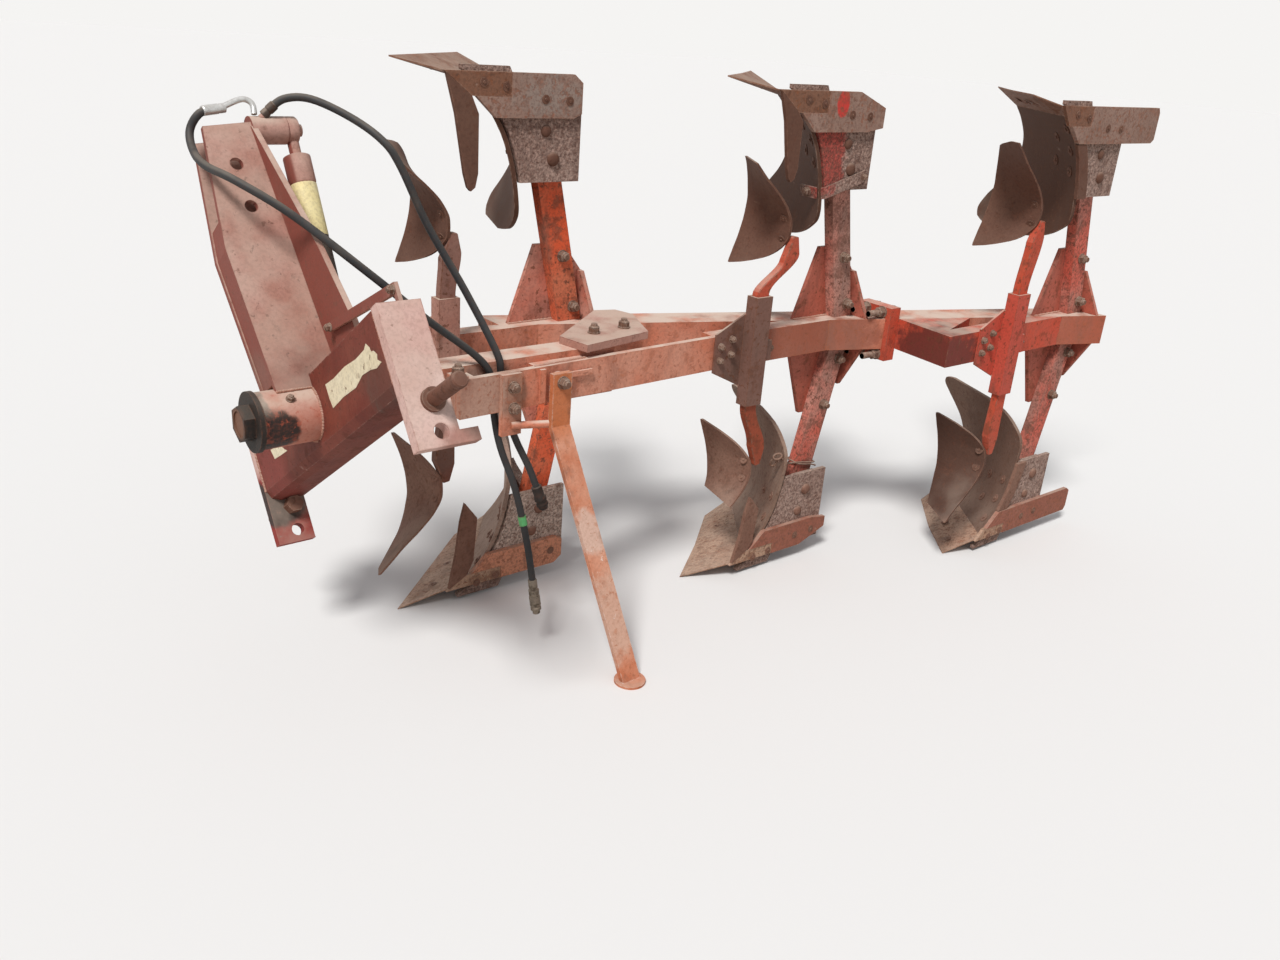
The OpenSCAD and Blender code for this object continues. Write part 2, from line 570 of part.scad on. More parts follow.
module shaft_nut() color(DARK) placed() translate([hitch_x + hub_front + 1, axis_y, axis_height]) rotate([0, 90, 0])
    difference() {
        union() {
            cylinder(d = nut_disc_d, h = nut_disc_t);
            cylinder(d = nut_d, h = nut_end - 1, $fn = 6);
        }
        translate([0, 0, -1]) cylinder(d = shaft_d + 2 * eps, h = nut_end + 2);
    }

// Headstock
module hub_tube() color(FADED) placed() headstock() translate([-hub_rear, 0, 0]) rotate([0, 90, 0]) difference() {
    cylinder(d = hub_d, h = hub_front + hub_rear);
    translate([0, 0, -1]) cylinder(d = shaft_d + 2 * shaft_gap, h = hub_front + hub_rear + 2);
}
crossbar_x1 = 47;
plate_rear_x = -34;
plate_top_u = 68;
plate_bottom_u = -194;
module crossbar() color(FADED) placed() headstock() difference() {
    translate([0, link_span / 2 - link_t - eps, 0]) rotate([90, 0, 0]) linear_extrude(link_span - 2 * (link_t + eps))
        polygon([[crossbar_x1 - crossbar_d, crossbar_u + crossbar_h / 2], [crossbar_x1, crossbar_u + crossbar_h / 2],
            [crossbar_x1, crossbar_u - crossbar_h / 2 + 26], [crossbar_x1 - 8, crossbar_u - crossbar_h / 2 + 8],
            [crossbar_x1 - 26, crossbar_u - crossbar_h / 2], [crossbar_x1 - crossbar_d, crossbar_u - crossbar_h / 2]]);
    translate([-hub_rear, 0, 0]) rotate([0, 90, 0]) cylinder(d = hub_d, h = hub_front + hub_rear);
}
module link_plates() color(FADED) placed() headstock() for (s = [1, -1])
    translate([0, s > 0 ? link_span / 2 : link_t - link_span / 2, 0]) difference() {
        union() {
            rotate([90, 0, 0]) linear_extrude(link_t)
                polygon([[plate_rear_x, plate_bottom_u], [crossbar_x1 + 3, plate_bottom_u],
                    [crossbar_x1 + 3, plate_top_u], [plate_rear_x, plate_top_u]]);
            if (s > 0) translate([plate_rear_x - 36, -link_t, plate_bottom_u]) cube([36, link_t, 24]);
        }
        for (u = [-pin_drop, -pin_drop - 55]) translate([0, 1, u]) rotate([90, 0, 0])
            cylinder(d = pin_d + 0.1, h = link_t + 2);
    }
pin_collar_d = 44;
pin_collar_t = 8;
pin_nut_d = 39;
pin_nut_h = 30;
module link_pins() color(DARK) placed() headstock() {
    translate([0, link_span / 2 + pin_free, -pin_drop]) rotate([90, 0, 0]) {
        cylinder(d = pin_d, h = pin_free + link_t + 8);
        translate([0, 0, pin_free - pin_collar_t]) cylinder(d = pin_collar_d, h = pin_collar_t);
    }
    translate([0, -link_span / 2 + link_t + pin_nut_h, -pin_drop]) rotate([90, 0, 0]) {
        cylinder(d = pin_d, h = pin_free + link_t + pin_nut_h);
        cylinder(d = pin_nut_d, h = pin_nut_h, $fn = 6);
        translate([0, 0, pin_nut_h + link_t]) cylinder(d = pin_collar_d, h = pin_collar_t);
    }
}

// The mast: two cheeks, a front plate, a rear plate and the cylinder's pivot boss
mast_half = mast_gap / 2 + cheek_t;
top_u = mast_height - pin_drop;
// The mast reaches past the upper link hole, and up to the cylinder's pivot
mast_top = max(top_u + 80, cyl_u - 2);
mast_lean = 3.6;
rear_foot_u = crossbar_u + crossbar_h / 2;
rear_foot_w = 178;
rear_foot_h = 64;
rear_mid_w = 146;
rear_mid_h = 218;
rear_top_w = mast_half + 3;
mast_rear_x = -24;
// Rear face of the mast's rear plate
function rear_x(u) = mast_rear_x + (u - rear_foot_u) * tan(mast_lean);
// Front edge of the cheeks, and their whole outline in X and U
CHEEK_FRONT = [[hub_d / 2 - 22, 118], [336, 138], [mast_top, 116]];
CHEEK = [[CHEEK_FRONT[0][1], CHEEK_FRONT[0][0]], [CHEEK_FRONT[1][1], CHEEK_FRONT[1][0]],
    [CHEEK_FRONT[2][1], mast_top], [rear_x(mast_top) + 6, mast_top + 10], [rear_x(rear_foot_u) + 6, rear_foot_u + 2],
    [crossbar_x1 + eps, rear_foot_u + 2], [crossbar_x1 + eps, CHEEK_FRONT[0][0]]];
// Height on the mast that the hoses' upper ends are placed from, and the port on the boss
// where the rear hose starts, in the headstock's own axes
hose_top_u = cyl_u - 2;
hose_port = smooth([for (i = [0:2]) let (r = REAR_HOSE[i]) [r[1], r[2], hose_top_u + r[3]]], 2);
port_way = directions(hose_port)[0];
port_l = 20;
front_plate_end_u = 398;
front_plate_step = 3;
boss_d = 56;
barrel_eye_h = 24;
module mast() color(FADED) placed() headstock() {
    difference() {
        union() {
            for (s = [1, -1]) translate([0, s > 0 ? mast_half : -mast_gap / 2, 0]) rotate([90, 0, 0])
                linear_extrude(cheek_t) polygon(CHEEK);
            // Front plate, left open at the top for the upper link
            translate([0, mast_gap / 2, 0]) rotate([90, 0, 0]) linear_extrude(mast_gap)
                polygon([for (p = [[hub_d / 2 + 4, 1], [CHEEK_FRONT[1][0], 1], [front_plate_end_u, 1],
                    [front_plate_end_u, 0], [CHEEK_FRONT[1][0], 0], [hub_d / 2 + 4, 0]])
                    [lookup(p[0], CHEEK_FRONT) - front_plate_step - p[1] * cheek_t, p[0]]]);
        }
        translate([-hub_rear, 0, 0]) rotate([0, 90, 0]) cylinder(d = hub_d, h = hub_front + hub_rear);
        for (h = [[70, top_u], [65, top_u - top_hole_step]]) translate([h[0], mast_half + 1, h[1]])
            rotate([90, 0, 0]) cylinder(d = top_hole_d, h = 2 * mast_half + 2);
    }
    // Rear plate, wider towards its foot
    translate([mast_rear_x, 0, rear_foot_u + 1]) rotate([0, mast_lean, 0]) rotate([90, 0, 90]) linear_extrude(cheek_t)
        polygon([[-rear_foot_w, 0], [-rear_foot_w, rear_foot_h], [-rear_mid_w, rear_mid_h],
            [-rear_top_w, mast_top - rear_foot_u], [rear_top_w, mast_top - rear_foot_u], [rear_mid_w, rear_mid_h],
            [rear_foot_w, rear_foot_h], [rear_foot_w, 0]]);
    // Boss and pin for the turnover cylinder
    boss_x = cyl_x + barrel_eye_h / 2 + eps;
    translate([boss_x, cyl_l, cyl_u]) rotate([0, 90, 0]) cylinder(d = boss_d, h = rear_x(cyl_u) - boss_x + 9);
    translate([cyl_x - 22, cyl_l, cyl_u]) rotate([0, 90, 0]) cylinder(d = cyl_pin_d, h = 40);
    translate(hose_port[0] - port_l * port_way) rotate([0, acos(port_way[2]), atan2(port_way[1], port_way[0])])
        cylinder(d = hose_d - 3, h = port_l - eps);
}
// Flat strap from the rear plate over to the left link plate's top
strap_t = 8;
strap_x = rear_x(141) + cheek_t + 1;
module strap() color(FADED) placed() headstock() cross_plate(strap_x, strap_t)
    polygon([[86, 150], [86, 132], [390, 88], [390, plate_top_u + eps], [402, plate_top_u + eps], [402, 106]]);

// Turnover cylinder, barrel on the mast's boss and rod towards the shaft's lug
rod_dx = cyl_l - lug_l;
rod_du = cyl_u - lug_u;
neck_l = 54;
neck_d = 24;
cyl_tilt = atan(rod_dx / rod_du);
cyl_len = sqrt(rod_dx * rod_dx + rod_du * rod_du);
module cylinder_frame() headstock() translate([cyl_x, cyl_l, cyl_u]) rotate([-cyl_tilt, 0, 0]) children();
module cylinder_barrel() color(FADED) placed() cylinder_frame() {
    difference() {
        union() {
            translate([-barrel_eye_h / 2, 0, 0]) rotate([0, 90, 0]) cylinder(d = boss_d, h = barrel_eye_h);
            translate([0, 0, -neck_l - 1]) cylinder(d = neck_d, h = neck_l - 20);
            translate([0, 0, -barrel_len]) cylinder(d = barrel_d, h = barrel_len - neck_l);
        }
        translate([-barrel_eye_h / 2 - 1, 0, 0]) rotate([0, 90, 0]) cylinder(d = cyl_pin_d + 0.1, h = barrel_eye_h + 2);
        translate([0, 0, -barrel_len - 1]) cylinder(d = rod_d - 4 + 0.1, h = barrel_len - 60);
    }
}
eye_d = 42;
rod_in = 190;
module cylinder_rod() color(STEEL) placed() cylinder_frame() {
    translate([0, 0, -cyl_len + 15]) cylinder(d = rod_d - 4, h = cyl_len - 15 - rod_in);
    translate([-rod_d / 2, 0, -cyl_len]) rotate([0, 90, 0]) cylinder(d = eye_d, h = rod_d);
    translate([rod_d / 2 - 1, 0, -cyl_len]) rotate([0, 90, 0]) cylinder(d = cyl_pin_d, h = 4);
}

// Stand and the small brackets on the middle bar
stand_gap = 9;
stand_y0 = lead_left(stand_x) + stand_gap;
stand_foot_d = 74;
stand_foot_t = 6;
washer_d = 40;
// Flat bars against the middle bar are this thick, so that the stand swings clear of them
latch_t = stand_gap - 2;
latch_l = 66;
latch_h = 12;
// Washer between the stand and the bar, a strip ahead of it, and the latch bar behind it
module stand_bracket() color(WORN) placed() {
    translate([stand_x, stand_y0 - eps, stand_bolt_z]) rotate([90, 0, 0])
        cylinder(d = washer_d, h = stand_y0 - eps - lead_left(stand_x + washer_d / 2) - eps);
    translate([stand_x + stand_w / 2 + 10, lead_left(stand_x + stand_w) + eps, beam_z0 + 4])
        cube([14, latch_t, beam_h - 8]);
    translate([stand_x - stand_w / 2 - 4 - latch_l, lead_left(stand_x - stand_w / 2) + eps, stand_bolt_z + 2])
        cube([latch_l, latch_t, latch_h]);
}
// Upper part upright at the bar, then the long slanted part down to the foot
module stand_bar(a, b) hull() for (p = [a, b])
    translate([p[0] - stand_w / 2, p[1], p[2]]) cube([stand_w, stand_t, 1]);
module stand() color([0.78, 0.45, 0.30]) placed() {
    stand_bar([stand_x, stand_y0, stand_bolt_z + 20], [stand_x, stand_y0, stand_bend_z]);
    stand_bar([stand_x, stand_y0, stand_bend_z], [stand_x - stand_rake, stand_y0 + stand_reach, stand_foot_t - 1]);
    translate([stand_x - stand_rake, stand_y0 + stand_reach + stand_t / 2, 0])
        cylinder(d = stand_foot_d, h = stand_foot_t);
}
// Plate that guides the hoses' slot on the bar's left side, with the prop for the folded stand
bracket_x = -140;
bracket_w = 50;
bracket_t = 12;
bracket_end_z = 560;
module hose_bracket() color(WORN) placed() {
    y0 = lead_left(bracket_x + bracket_w) + eps;
    translate([bracket_x, y0, bracket_end_z]) cube([bracket_w, bracket_t, axis_height + beam_h / 2 - bracket_end_z]);
    translate([bracket_x + bracket_w / 2, y0 + bracket_t - 2, bracket_end_z + 22]) rotate([-90, 0, 70])
        cylinder(d = 17, h = 84);
}

// A hose: rings swept along its route's points, each turned as little as can be from the last
function directions(r) = [for (i = [0:len(r) - 1])
    let (t = r[min(i + 1, len(r) - 1)] - r[max(i - 1, 0)]) t / norm(t)];
function side_vectors(t, u, i = 0) = let (v = u - (u * t[i]) * t[i], w = v / norm(v))
    i == len(t) - 1 ? [w] : concat([w], side_vectors(t, w, i + 1));
module hose(route, d, sides) {
    n = len(route);
    t = directions(route);
    w = side_vectors(t, [0, 0, 1]);
    points = [for (i = [0:n - 1]) for (j = [0:sides - 1]) let (a = 360 * j / sides)
        route[i] + d / 2 * (cos(a) * w[i] + sin(a) * cross(t[i], w[i]))];
    polyhedron(points = points, convexity = 6, faces = concat(
        [[for (j = [0:sides - 1]) j]], [[for (j = [sides - 1:-1:0]) (n - 1) * sides + j]],
        [for (i = [0:n - 2]) for (j = [0:sides - 1]) let (a = i * sides, b = a + sides, k = (j + 1) % sides)
            each [[a + j, b + j, b + k], [a + j, b + k, a + k]]]));
}
// A smooth curve through the route's points, with m steps between neighbours
function smooth(p, m) = let (n = len(p)) concat([for (i = [0:n - 2]) for (s = [0:m - 1])
    let (t = s / m, a = p[max(i - 1, 0)], b = p[i], c = p[i + 1], d = p[min(i + 2, n - 1)])
    ((2 * b) + (c - a) * t + (2 * a - 5 * b + 4 * c - d) * t * t + (3 * b - a - 3 * c + d) * t * t * t) / 2],
    [p[n - 1]]);
// Where the hoses leave the mast's top, and where they pass between turnover box and middle bar
hose_slot_x = -90;
mast_point = [hitch_x, axis_y - hose_top_u * sin(park_roll), axis_height + hose_top_u * cos(park_roll)];
slot_point = [hose_slot_x, lead_left(hose_slot_x) - lead_plate_t - hose_slot / 2, axis_height];
function rolled(v, a) = [v[0], v[1] * cos(a) - v[2] * sin(a), v[1] * sin(a) + v[2] * cos(a)];
function route(rows) = [for (r = rows)
    slot_point + r[0] * (mast_point - slot_point) + rolled([r[1], r[2], r[3]], r[0] * park_roll)];
module hose_pipe() color([0.75, 0.75, 0.74]) placed() hose(smooth(route(HOSE_PIPE), 3), pipe_d, 10);
module front_hose() color(DARK) placed() hose(smooth(route(FRONT_HOSE), 2), hose_d, 10);
module rear_hose() color(DARK) placed() hose(smooth(route(REAR_HOSE), 2), hose_d, 10);

front_bar();
middle_bar();
rear_bar();
turnover_box();
bridge_plate();
diagonal_beam();
rear_cross_member();
flanges();
leg_gussets();
front_legs();
middle_legs();
rear_legs();
frogs();
landsides();
front_shares();
middle_shares();
rear_shares();
share_knives();
front_mouldboards();
middle_mouldboards();
rear_mouldboards();
skim_sleeves();
skim_stems();
front_skims();
middle_skims();
rear_skims();
turnover_shaft();
shaft_nut();
hose_bracket();
stand_bracket();
stand();
mast();
hub_tube();
crossbar();
link_plates();
link_pins();
strap();
cylinder_barrel();
cylinder_rod();
hose_pipe();
front_hose();
rear_hose();
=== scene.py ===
"""Looks of a three-furrow mounted reversible mouldboard plough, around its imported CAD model.

Places are first written as on the part's drawing: millimetres, X forward, Y to the left,
Z up, from the front share's point. ``spot`` turns them into metres in the model's frame.
"""

from __future__ import annotations

import logging
import math
from collections.abc import Callable, Iterable, Sequence
from dataclasses import dataclass
from enum import Enum

import bmesh
import bpy
import numpy as np
from mathutils import Matrix, Vector

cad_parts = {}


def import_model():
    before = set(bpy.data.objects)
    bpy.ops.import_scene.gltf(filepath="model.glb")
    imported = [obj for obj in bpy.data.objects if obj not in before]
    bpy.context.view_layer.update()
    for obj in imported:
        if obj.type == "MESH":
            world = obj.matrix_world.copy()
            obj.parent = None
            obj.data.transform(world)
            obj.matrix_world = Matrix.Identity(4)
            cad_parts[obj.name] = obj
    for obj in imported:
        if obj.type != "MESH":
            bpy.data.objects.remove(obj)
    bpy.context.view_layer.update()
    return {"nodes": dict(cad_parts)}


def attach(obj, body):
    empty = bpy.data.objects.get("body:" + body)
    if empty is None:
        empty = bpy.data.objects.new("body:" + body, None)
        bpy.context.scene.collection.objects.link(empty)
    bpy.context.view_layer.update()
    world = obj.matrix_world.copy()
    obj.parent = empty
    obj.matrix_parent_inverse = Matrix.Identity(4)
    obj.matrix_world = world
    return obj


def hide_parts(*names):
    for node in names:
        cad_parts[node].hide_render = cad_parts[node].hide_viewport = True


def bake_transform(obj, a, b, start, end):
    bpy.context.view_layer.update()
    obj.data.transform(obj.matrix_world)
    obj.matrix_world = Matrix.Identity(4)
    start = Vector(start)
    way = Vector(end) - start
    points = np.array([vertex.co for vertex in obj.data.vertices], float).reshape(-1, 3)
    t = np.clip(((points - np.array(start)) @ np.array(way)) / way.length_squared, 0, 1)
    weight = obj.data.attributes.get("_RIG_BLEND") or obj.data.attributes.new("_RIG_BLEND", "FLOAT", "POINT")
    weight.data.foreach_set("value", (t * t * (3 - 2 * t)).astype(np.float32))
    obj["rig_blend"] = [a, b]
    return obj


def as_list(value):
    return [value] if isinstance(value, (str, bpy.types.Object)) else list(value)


LOG = logging.getLogger("plough")

Place = tuple[float, float]
Point = tuple[float, float, float]
Colour = tuple[int, int, int]
Piece = bpy.types.Object
Material = bpy.types.Material
Tree = bpy.types.NodeTree
Node = bpy.types.Node
Socket = bpy.types.NodeSocket

# The drawing's own zero in the model's frame, and the sizes that the pieces share, in millimetres
ORIGIN = (-822.5, 174.301, 0.0)
SPACING = 735.0
FURROW = 271.0
AXIS_Y = 248.0
AXIS_Z = 656.0
HITCH_X = 256.0
ROLL = math.radians(34.8)
WALL_Y = 38.0
BAR_LEFT = (6.0, 17.0, 12.0)
BAR_SLANT = 28.0 / 744.0
BAR_HALF = 43.0
SLEEVE_X = -118.0


class Body(str, Enum):
    """The bodies that pieces ride on."""

    FRAME = "frame"
    HEADSTOCK = "headstock"
    BARREL = "cylinder_barrel_body"
    ROD = "cylinder_rod_body"
    STAND = "stand_body"


def spot(x: float, y: float, z: float) -> Vector:
    """A place of the drawing, in metres in the model's frame."""
    return Vector(((x - ORIGIN[0]) / 1000, (y - ORIGIN[1]) / 1000, z / 1000))


@dataclass(frozen=True)
class PloughBody:
    """One plough body: k is 0 in the front pair, 1 in the middle one and 2 in the rear one."""

    k: int
    upper: bool

    @property
    def label(self) -> str:
        """The ending of its pieces' names."""
        return f"{self.k}_{int(self.upper)}"

    @property
    def flip(self) -> float:
        """The sign of its heights, because an upper body mirrors the lower one over the turnover axis."""
        return -1.0 if self.upper else 1.0

    def spot(self, x: float, y: float, z: float) -> Vector:
        """A place in metres: ahead and left of its share point, and high as on the lower body."""
        return spot(x - SPACING * self.k, y + FURROW * self.k, 2 * AXIS_Z - z if self.upper else z)


LOWER = tuple(PloughBody(k, False) for k in range(3))
UPPER = tuple(PloughBody(k, True) for k in range(3))
PAIRS = tuple(zip(LOWER, UPPER))


def head_spot(x: float, along: float, up: float) -> Vector:
    """A place on the rolled headstock: X ahead of the pin line, along the crossbar, up the mast."""
    c, s = math.cos(ROLL), math.sin(ROLL)
    return spot(HITCH_X + x, AXIS_Y + along * c - up * s, AXIS_Z + along * s + up * c)


def head_way(x: float, along: float, up: float) -> Vector:
    """A direction in the headstock's axes, in the model's frame."""
    c, s = math.cos(ROLL), math.sin(ROLL)
    return Vector((x, along * c - up * s, along * s + up * c)).normalized()


def bar_side(x: float) -> float:
    """Y of the middle bar's left side at a place along it, in millimetres."""
    return FURROW + BAR_LEFT[1] + (x + SPACING) * BAR_SLANT


def linear(value: float) -> float:
    """One channel of a colour in 0 to 255 steps, as the linear share that a material takes."""
    value /= 255
    return value / 12.92 if value <= 0.04045 else ((value + 0.055) / 1.055) ** 2.4


def tint(red: int, green: int, blue: int) -> tuple[float, float, float, float]:
    """A colour written in 0 to 255 steps, as a material takes it."""
    return linear(red), linear(green), linear(blue), 1.0


# Node trees

class Sketch:
    """Adds nodes to one node tree and links them."""

    def __init__(self, tree: Tree) -> None:
        """Keep the tree that the nodes go into."""
        self.tree = tree

    def node(self, kind: str, inputs: dict | None = None, **settings: object) -> Node:
        """Add a node.

        Args:
            kind: The node's type name.
            inputs: Value, socket or node for each named or numbered input.
            **settings: The node's own properties.

        Returns:
            The new node.
        """
        made = self.tree.nodes.new(kind)
        for key, value in settings.items():
            setattr(made, key, value)
        for key, value in (inputs or {}).items():
            if isinstance(value, Node):
                value = value.outputs[0]
            if isinstance(value, Socket):
                self.tree.links.new(value, made.inputs[key])
            else:
                made.inputs[key].default_value = value
        return made

    def math(self, operation: str, first: object, second: object = 0.0, clamp: bool = False) -> Socket:
        """One sum on two numbers, given as values or sockets."""
        made = self.node("ShaderNodeMath", {0: first, 1: second}, operation=operation, use_clamp=clamp)
        return made.outputs[0]

    def times(self, first: object, second: object, clamp: bool = False) -> Socket:
        """The product of two numbers."""
        return self.math("MULTIPLY", first, second, clamp)

    def vector(self, operation: str, first: object, second: object = (0.0, 0.0, 0.0)) -> Node:
        """One sum on two vectors."""
        return self.node("ShaderNodeVectorMath", {0: first, 1: second}, operation=operation)

    def mix(self, share: object, first: object, second: object) -> Socket:
        """Blend two colours."""
        return self.node("ShaderNodeMix", {0: share, 6: first, 7: second}, data_type="RGBA").outputs[2]

    def step(self, value: object, low: object, high: object) -> Socket:
        """Map a value from low..high to 0..1, smoothly and held at both ends."""
        inputs = {0: value, 1: low, 2: high}
        return self.node("ShaderNodeMapRange", inputs, interpolation_type="SMOOTHSTEP").outputs[0]

    def noise(self, place: object, scale: object, detail: float, roughness: float = 0.5) -> Socket:
        """Cloudy noise round one half."""
        inputs = {"Vector": place, "Scale": scale, "Detail": detail, "Roughness": roughness}
        return self.node("ShaderNodeTexNoise", inputs).outputs[0]

    def object_place(self) -> Socket:
        """The place on the object, in its own coordinates."""
        return self.node("ShaderNodeTexCoord").outputs["Object"]

    def close(self, value: Socket, result: Node) -> Tree:
        """Link a group's only output, and give back the finished group."""
        self.tree.links.new(value, result.inputs[0])
        return self.tree


NUMBER = "NodeSocketFloat"
WHOLE = "NodeSocketInt"
ARROW = "NodeSocketVector"
GEOMETRY = "NodeSocketGeometry"
MATERIAL = "NodeSocketMaterial"


def open_group(name: str, kind: str, inputs: Sequence[tuple[str, str, object]],
               output: tuple[str, str]) -> tuple[Sketch, bpy.types.NodeOutputs, Node]:
    """Start a node group with named sockets.

    Args:
        name: The group's name.
        kind: Its tree type.
        inputs: Name, socket type and default value of each input.
        output: Name and socket type of its output.

    Returns:
        The sketch, the sockets of the group's inputs and its output node.
    """
    tree = bpy.data.node_groups.new(name, kind)
    for label, socket, value in inputs:
        item = tree.interface.new_socket(name=label, in_out="INPUT", socket_type=socket)
        if value is not None:
            item.default_value = value
    tree.interface.new_socket(name=output[0], in_out="OUTPUT", socket_type=output[1])
    sketch = Sketch(tree)
    return sketch, sketch.node("NodeGroupInput").outputs, sketch.node("NodeGroupOutput")


def blotches_group() -> Tree:
    """Cloudy patches that follow the object's own coordinates.

    Returns:
        The node group.
    """
    sketch, given, result = open_group("blotches", "ShaderNodeTree", [
        ("Scale", NUMBER, 8.0), ("Stretch", NUMBER, 1.0), ("Level", NUMBER, 0.55), ("Softness", NUMBER, 0.1),
        ("Shift", NUMBER, 0.0)], ("Mask", NUMBER))
    size = sketch.node("ShaderNodeCombineXYZ", {0: 1.0, 1: 1.0, 2: given["Stretch"]})
    shaped = sketch.vector("MULTIPLY", sketch.object_place(), size)
    noise = sketch.noise(sketch.vector("ADD", shaped, given["Shift"]), given["Scale"], 7.0, 0.62)
    low = sketch.math("SUBTRACT", given["Level"], given["Softness"])
    high = sketch.math("ADD", given["Level"], given["Softness"])
    return sketch.close(sketch.step(noise, low, high), result)


def edges_group() -> Tree:
    """A mask that is strong along outer edges and ridges.

    Returns:
        The node group.
    """
    sketch, given, result = open_group("edge_wear", "ShaderNodeTree", [
        ("Radius", NUMBER, 0.004), ("Gain", NUMBER, 6.0), ("Break Up", NUMBER, 60.0)], ("Mask", NUMBER))
    rounded = sketch.node("ShaderNodeBevel", {"Radius": given["Radius"]}, samples=4)
    flat = sketch.node("ShaderNodeNewGeometry").outputs["True Normal"]
    turn = sketch.vector("DOT_PRODUCT", rounded, flat).outputs["Value"]
    edge = sketch.times(sketch.math("SUBTRACT", 1.0, turn), given["Gain"], clamp=True)
    noise = sketch.noise(sketch.object_place(), given["Break Up"], 5.0)
    return sketch.close(sketch.times(edge, sketch.step(noise, 0.35, 0.6)), result)


def dust_group() -> Tree:
    """Dust that settles on surfaces which face upwards.

    Returns:
        The node group.
    """
    sketch, given, result = open_group("settled_dust", "ShaderNodeTree", [
        ("Amount", NUMBER, 0.7), ("Scale", NUMBER, 14.0)], ("Mask", NUMBER))
    coords = sketch.node("ShaderNodeTexCoord").outputs
    upward = sketch.node("ShaderNodeSeparateXYZ", {0: coords["Normal"]}).outputs["Z"]
    noise = sketch.noise(coords["Object"], given["Scale"], 6.0)
    lying = sketch.times(sketch.step(upward, 0.25, 0.95), sketch.step(noise, 0.25, 0.6))
    return sketch.close(sketch.times(lying, given["Amount"], clamp=True), result)


def pits_group() -> Tree:
    """Height of a rough surface: fine grain with shallow rust pits.

    Returns:
        The node group.
    """
    sketch, given, result = open_group("pitted_height", "ShaderNodeTree", [
        ("Grain Scale", NUMBER, 260.0), ("Pit Scale", NUMBER, 90.0), ("Pit Share", NUMBER, 0.5)],
        ("Height", NUMBER))
    place = sketch.object_place()
    grain = sketch.noise(place, given["Grain Scale"], 4.0)
    pit = sketch.noise(place, given["Pit Scale"], 8.0, 0.7)
    deep = sketch.times(sketch.step(pit, 0.4, 0.6), given["Pit Share"])
    return sketch.close(sketch.math("ADD", sketch.times(grain, 0.4), deep), result)


def scratches_group() -> Tree:
    """Thin scratches that run mostly one way.

    Returns:
        The node group.
    """
    sketch, given, result = open_group("scratches", "ShaderNodeTree", [
        ("Scale", NUMBER, 30.0), ("Amount", NUMBER, 0.5), ("Turn", ARROW, (0.4, 0.5, 0.2))],
        ("Mask", NUMBER))
    inputs = {"Vector": sketch.object_place(), "Rotation": given["Turn"]}
    rotated = sketch.node("ShaderNodeVectorRotate", inputs, rotation_type="EULER_XYZ")
    long = sketch.vector("MULTIPLY", rotated, (1.0, 0.06, 1.0))
    line = sketch.step(sketch.noise(long, given["Scale"], 5.0, 0.75), 0.66, 0.7)
    return sketch.close(sketch.times(line, given["Amount"], clamp=True), result)


def zone_group() -> Tree:
    """A soft, broken-up patch round one place of the object, on all its sides or on one.

    Returns:
        The node group.
    """
    sketch, given, result = open_group("zone", "ShaderNodeTree", [
        ("Centre", ARROW, (0.0, 0.0, 0.0)), ("Reach", ARROW, (0.1, 0.1, 0.1)), ("Softness", NUMBER, 0.15),
        ("Break Up", NUMBER, 0.5), ("Facing", ARROW, (0.0, 0.0, 0.0)), ("All Sides", NUMBER, 1.0)],
        ("Mask", NUMBER))
    coords = sketch.node("ShaderNodeTexCoord").outputs
    away = sketch.vector("SUBTRACT", coords["Object"], given["Centre"])
    distance = sketch.vector("LENGTH", sketch.vector("DIVIDE", away, given["Reach"])).outputs["Value"]
    noise = sketch.noise(coords["Object"], 24.0, 7.0, 0.65)
    ragged = sketch.times(sketch.math("SUBTRACT", noise, 0.5), given["Break Up"])
    low = sketch.math("SUBTRACT", 1.0, given["Softness"])
    high = sketch.math("ADD", 1.0, given["Softness"])
    outside = sketch.step(sketch.math("ADD", distance, ragged), low, high)
    turn = sketch.vector("DOT_PRODUCT", coords["Normal"], given["Facing"]).outputs["Value"]
    side = sketch.math("MAXIMUM", sketch.step(turn, 0.6, 0.8), given["All Sides"])
    return sketch.close(sketch.times(sketch.math("SUBTRACT", 1.0, outside, clamp=True), side), result)


@dataclass(frozen=True)
class Zone:
    """A patch of another colour on a finish, some of them painted light and some painted shade: its middle
    and reach in metres, and the side it is on.
    """

    centre: Vector | Point
    reach: Point
    colour: Colour
    strength: float = 0.85
    softness: float = 0.15
    break_up: float = 0.6
    gloss: float = 0.0
    facing: Vector | Point = (0.0, 0.0, 0.0)


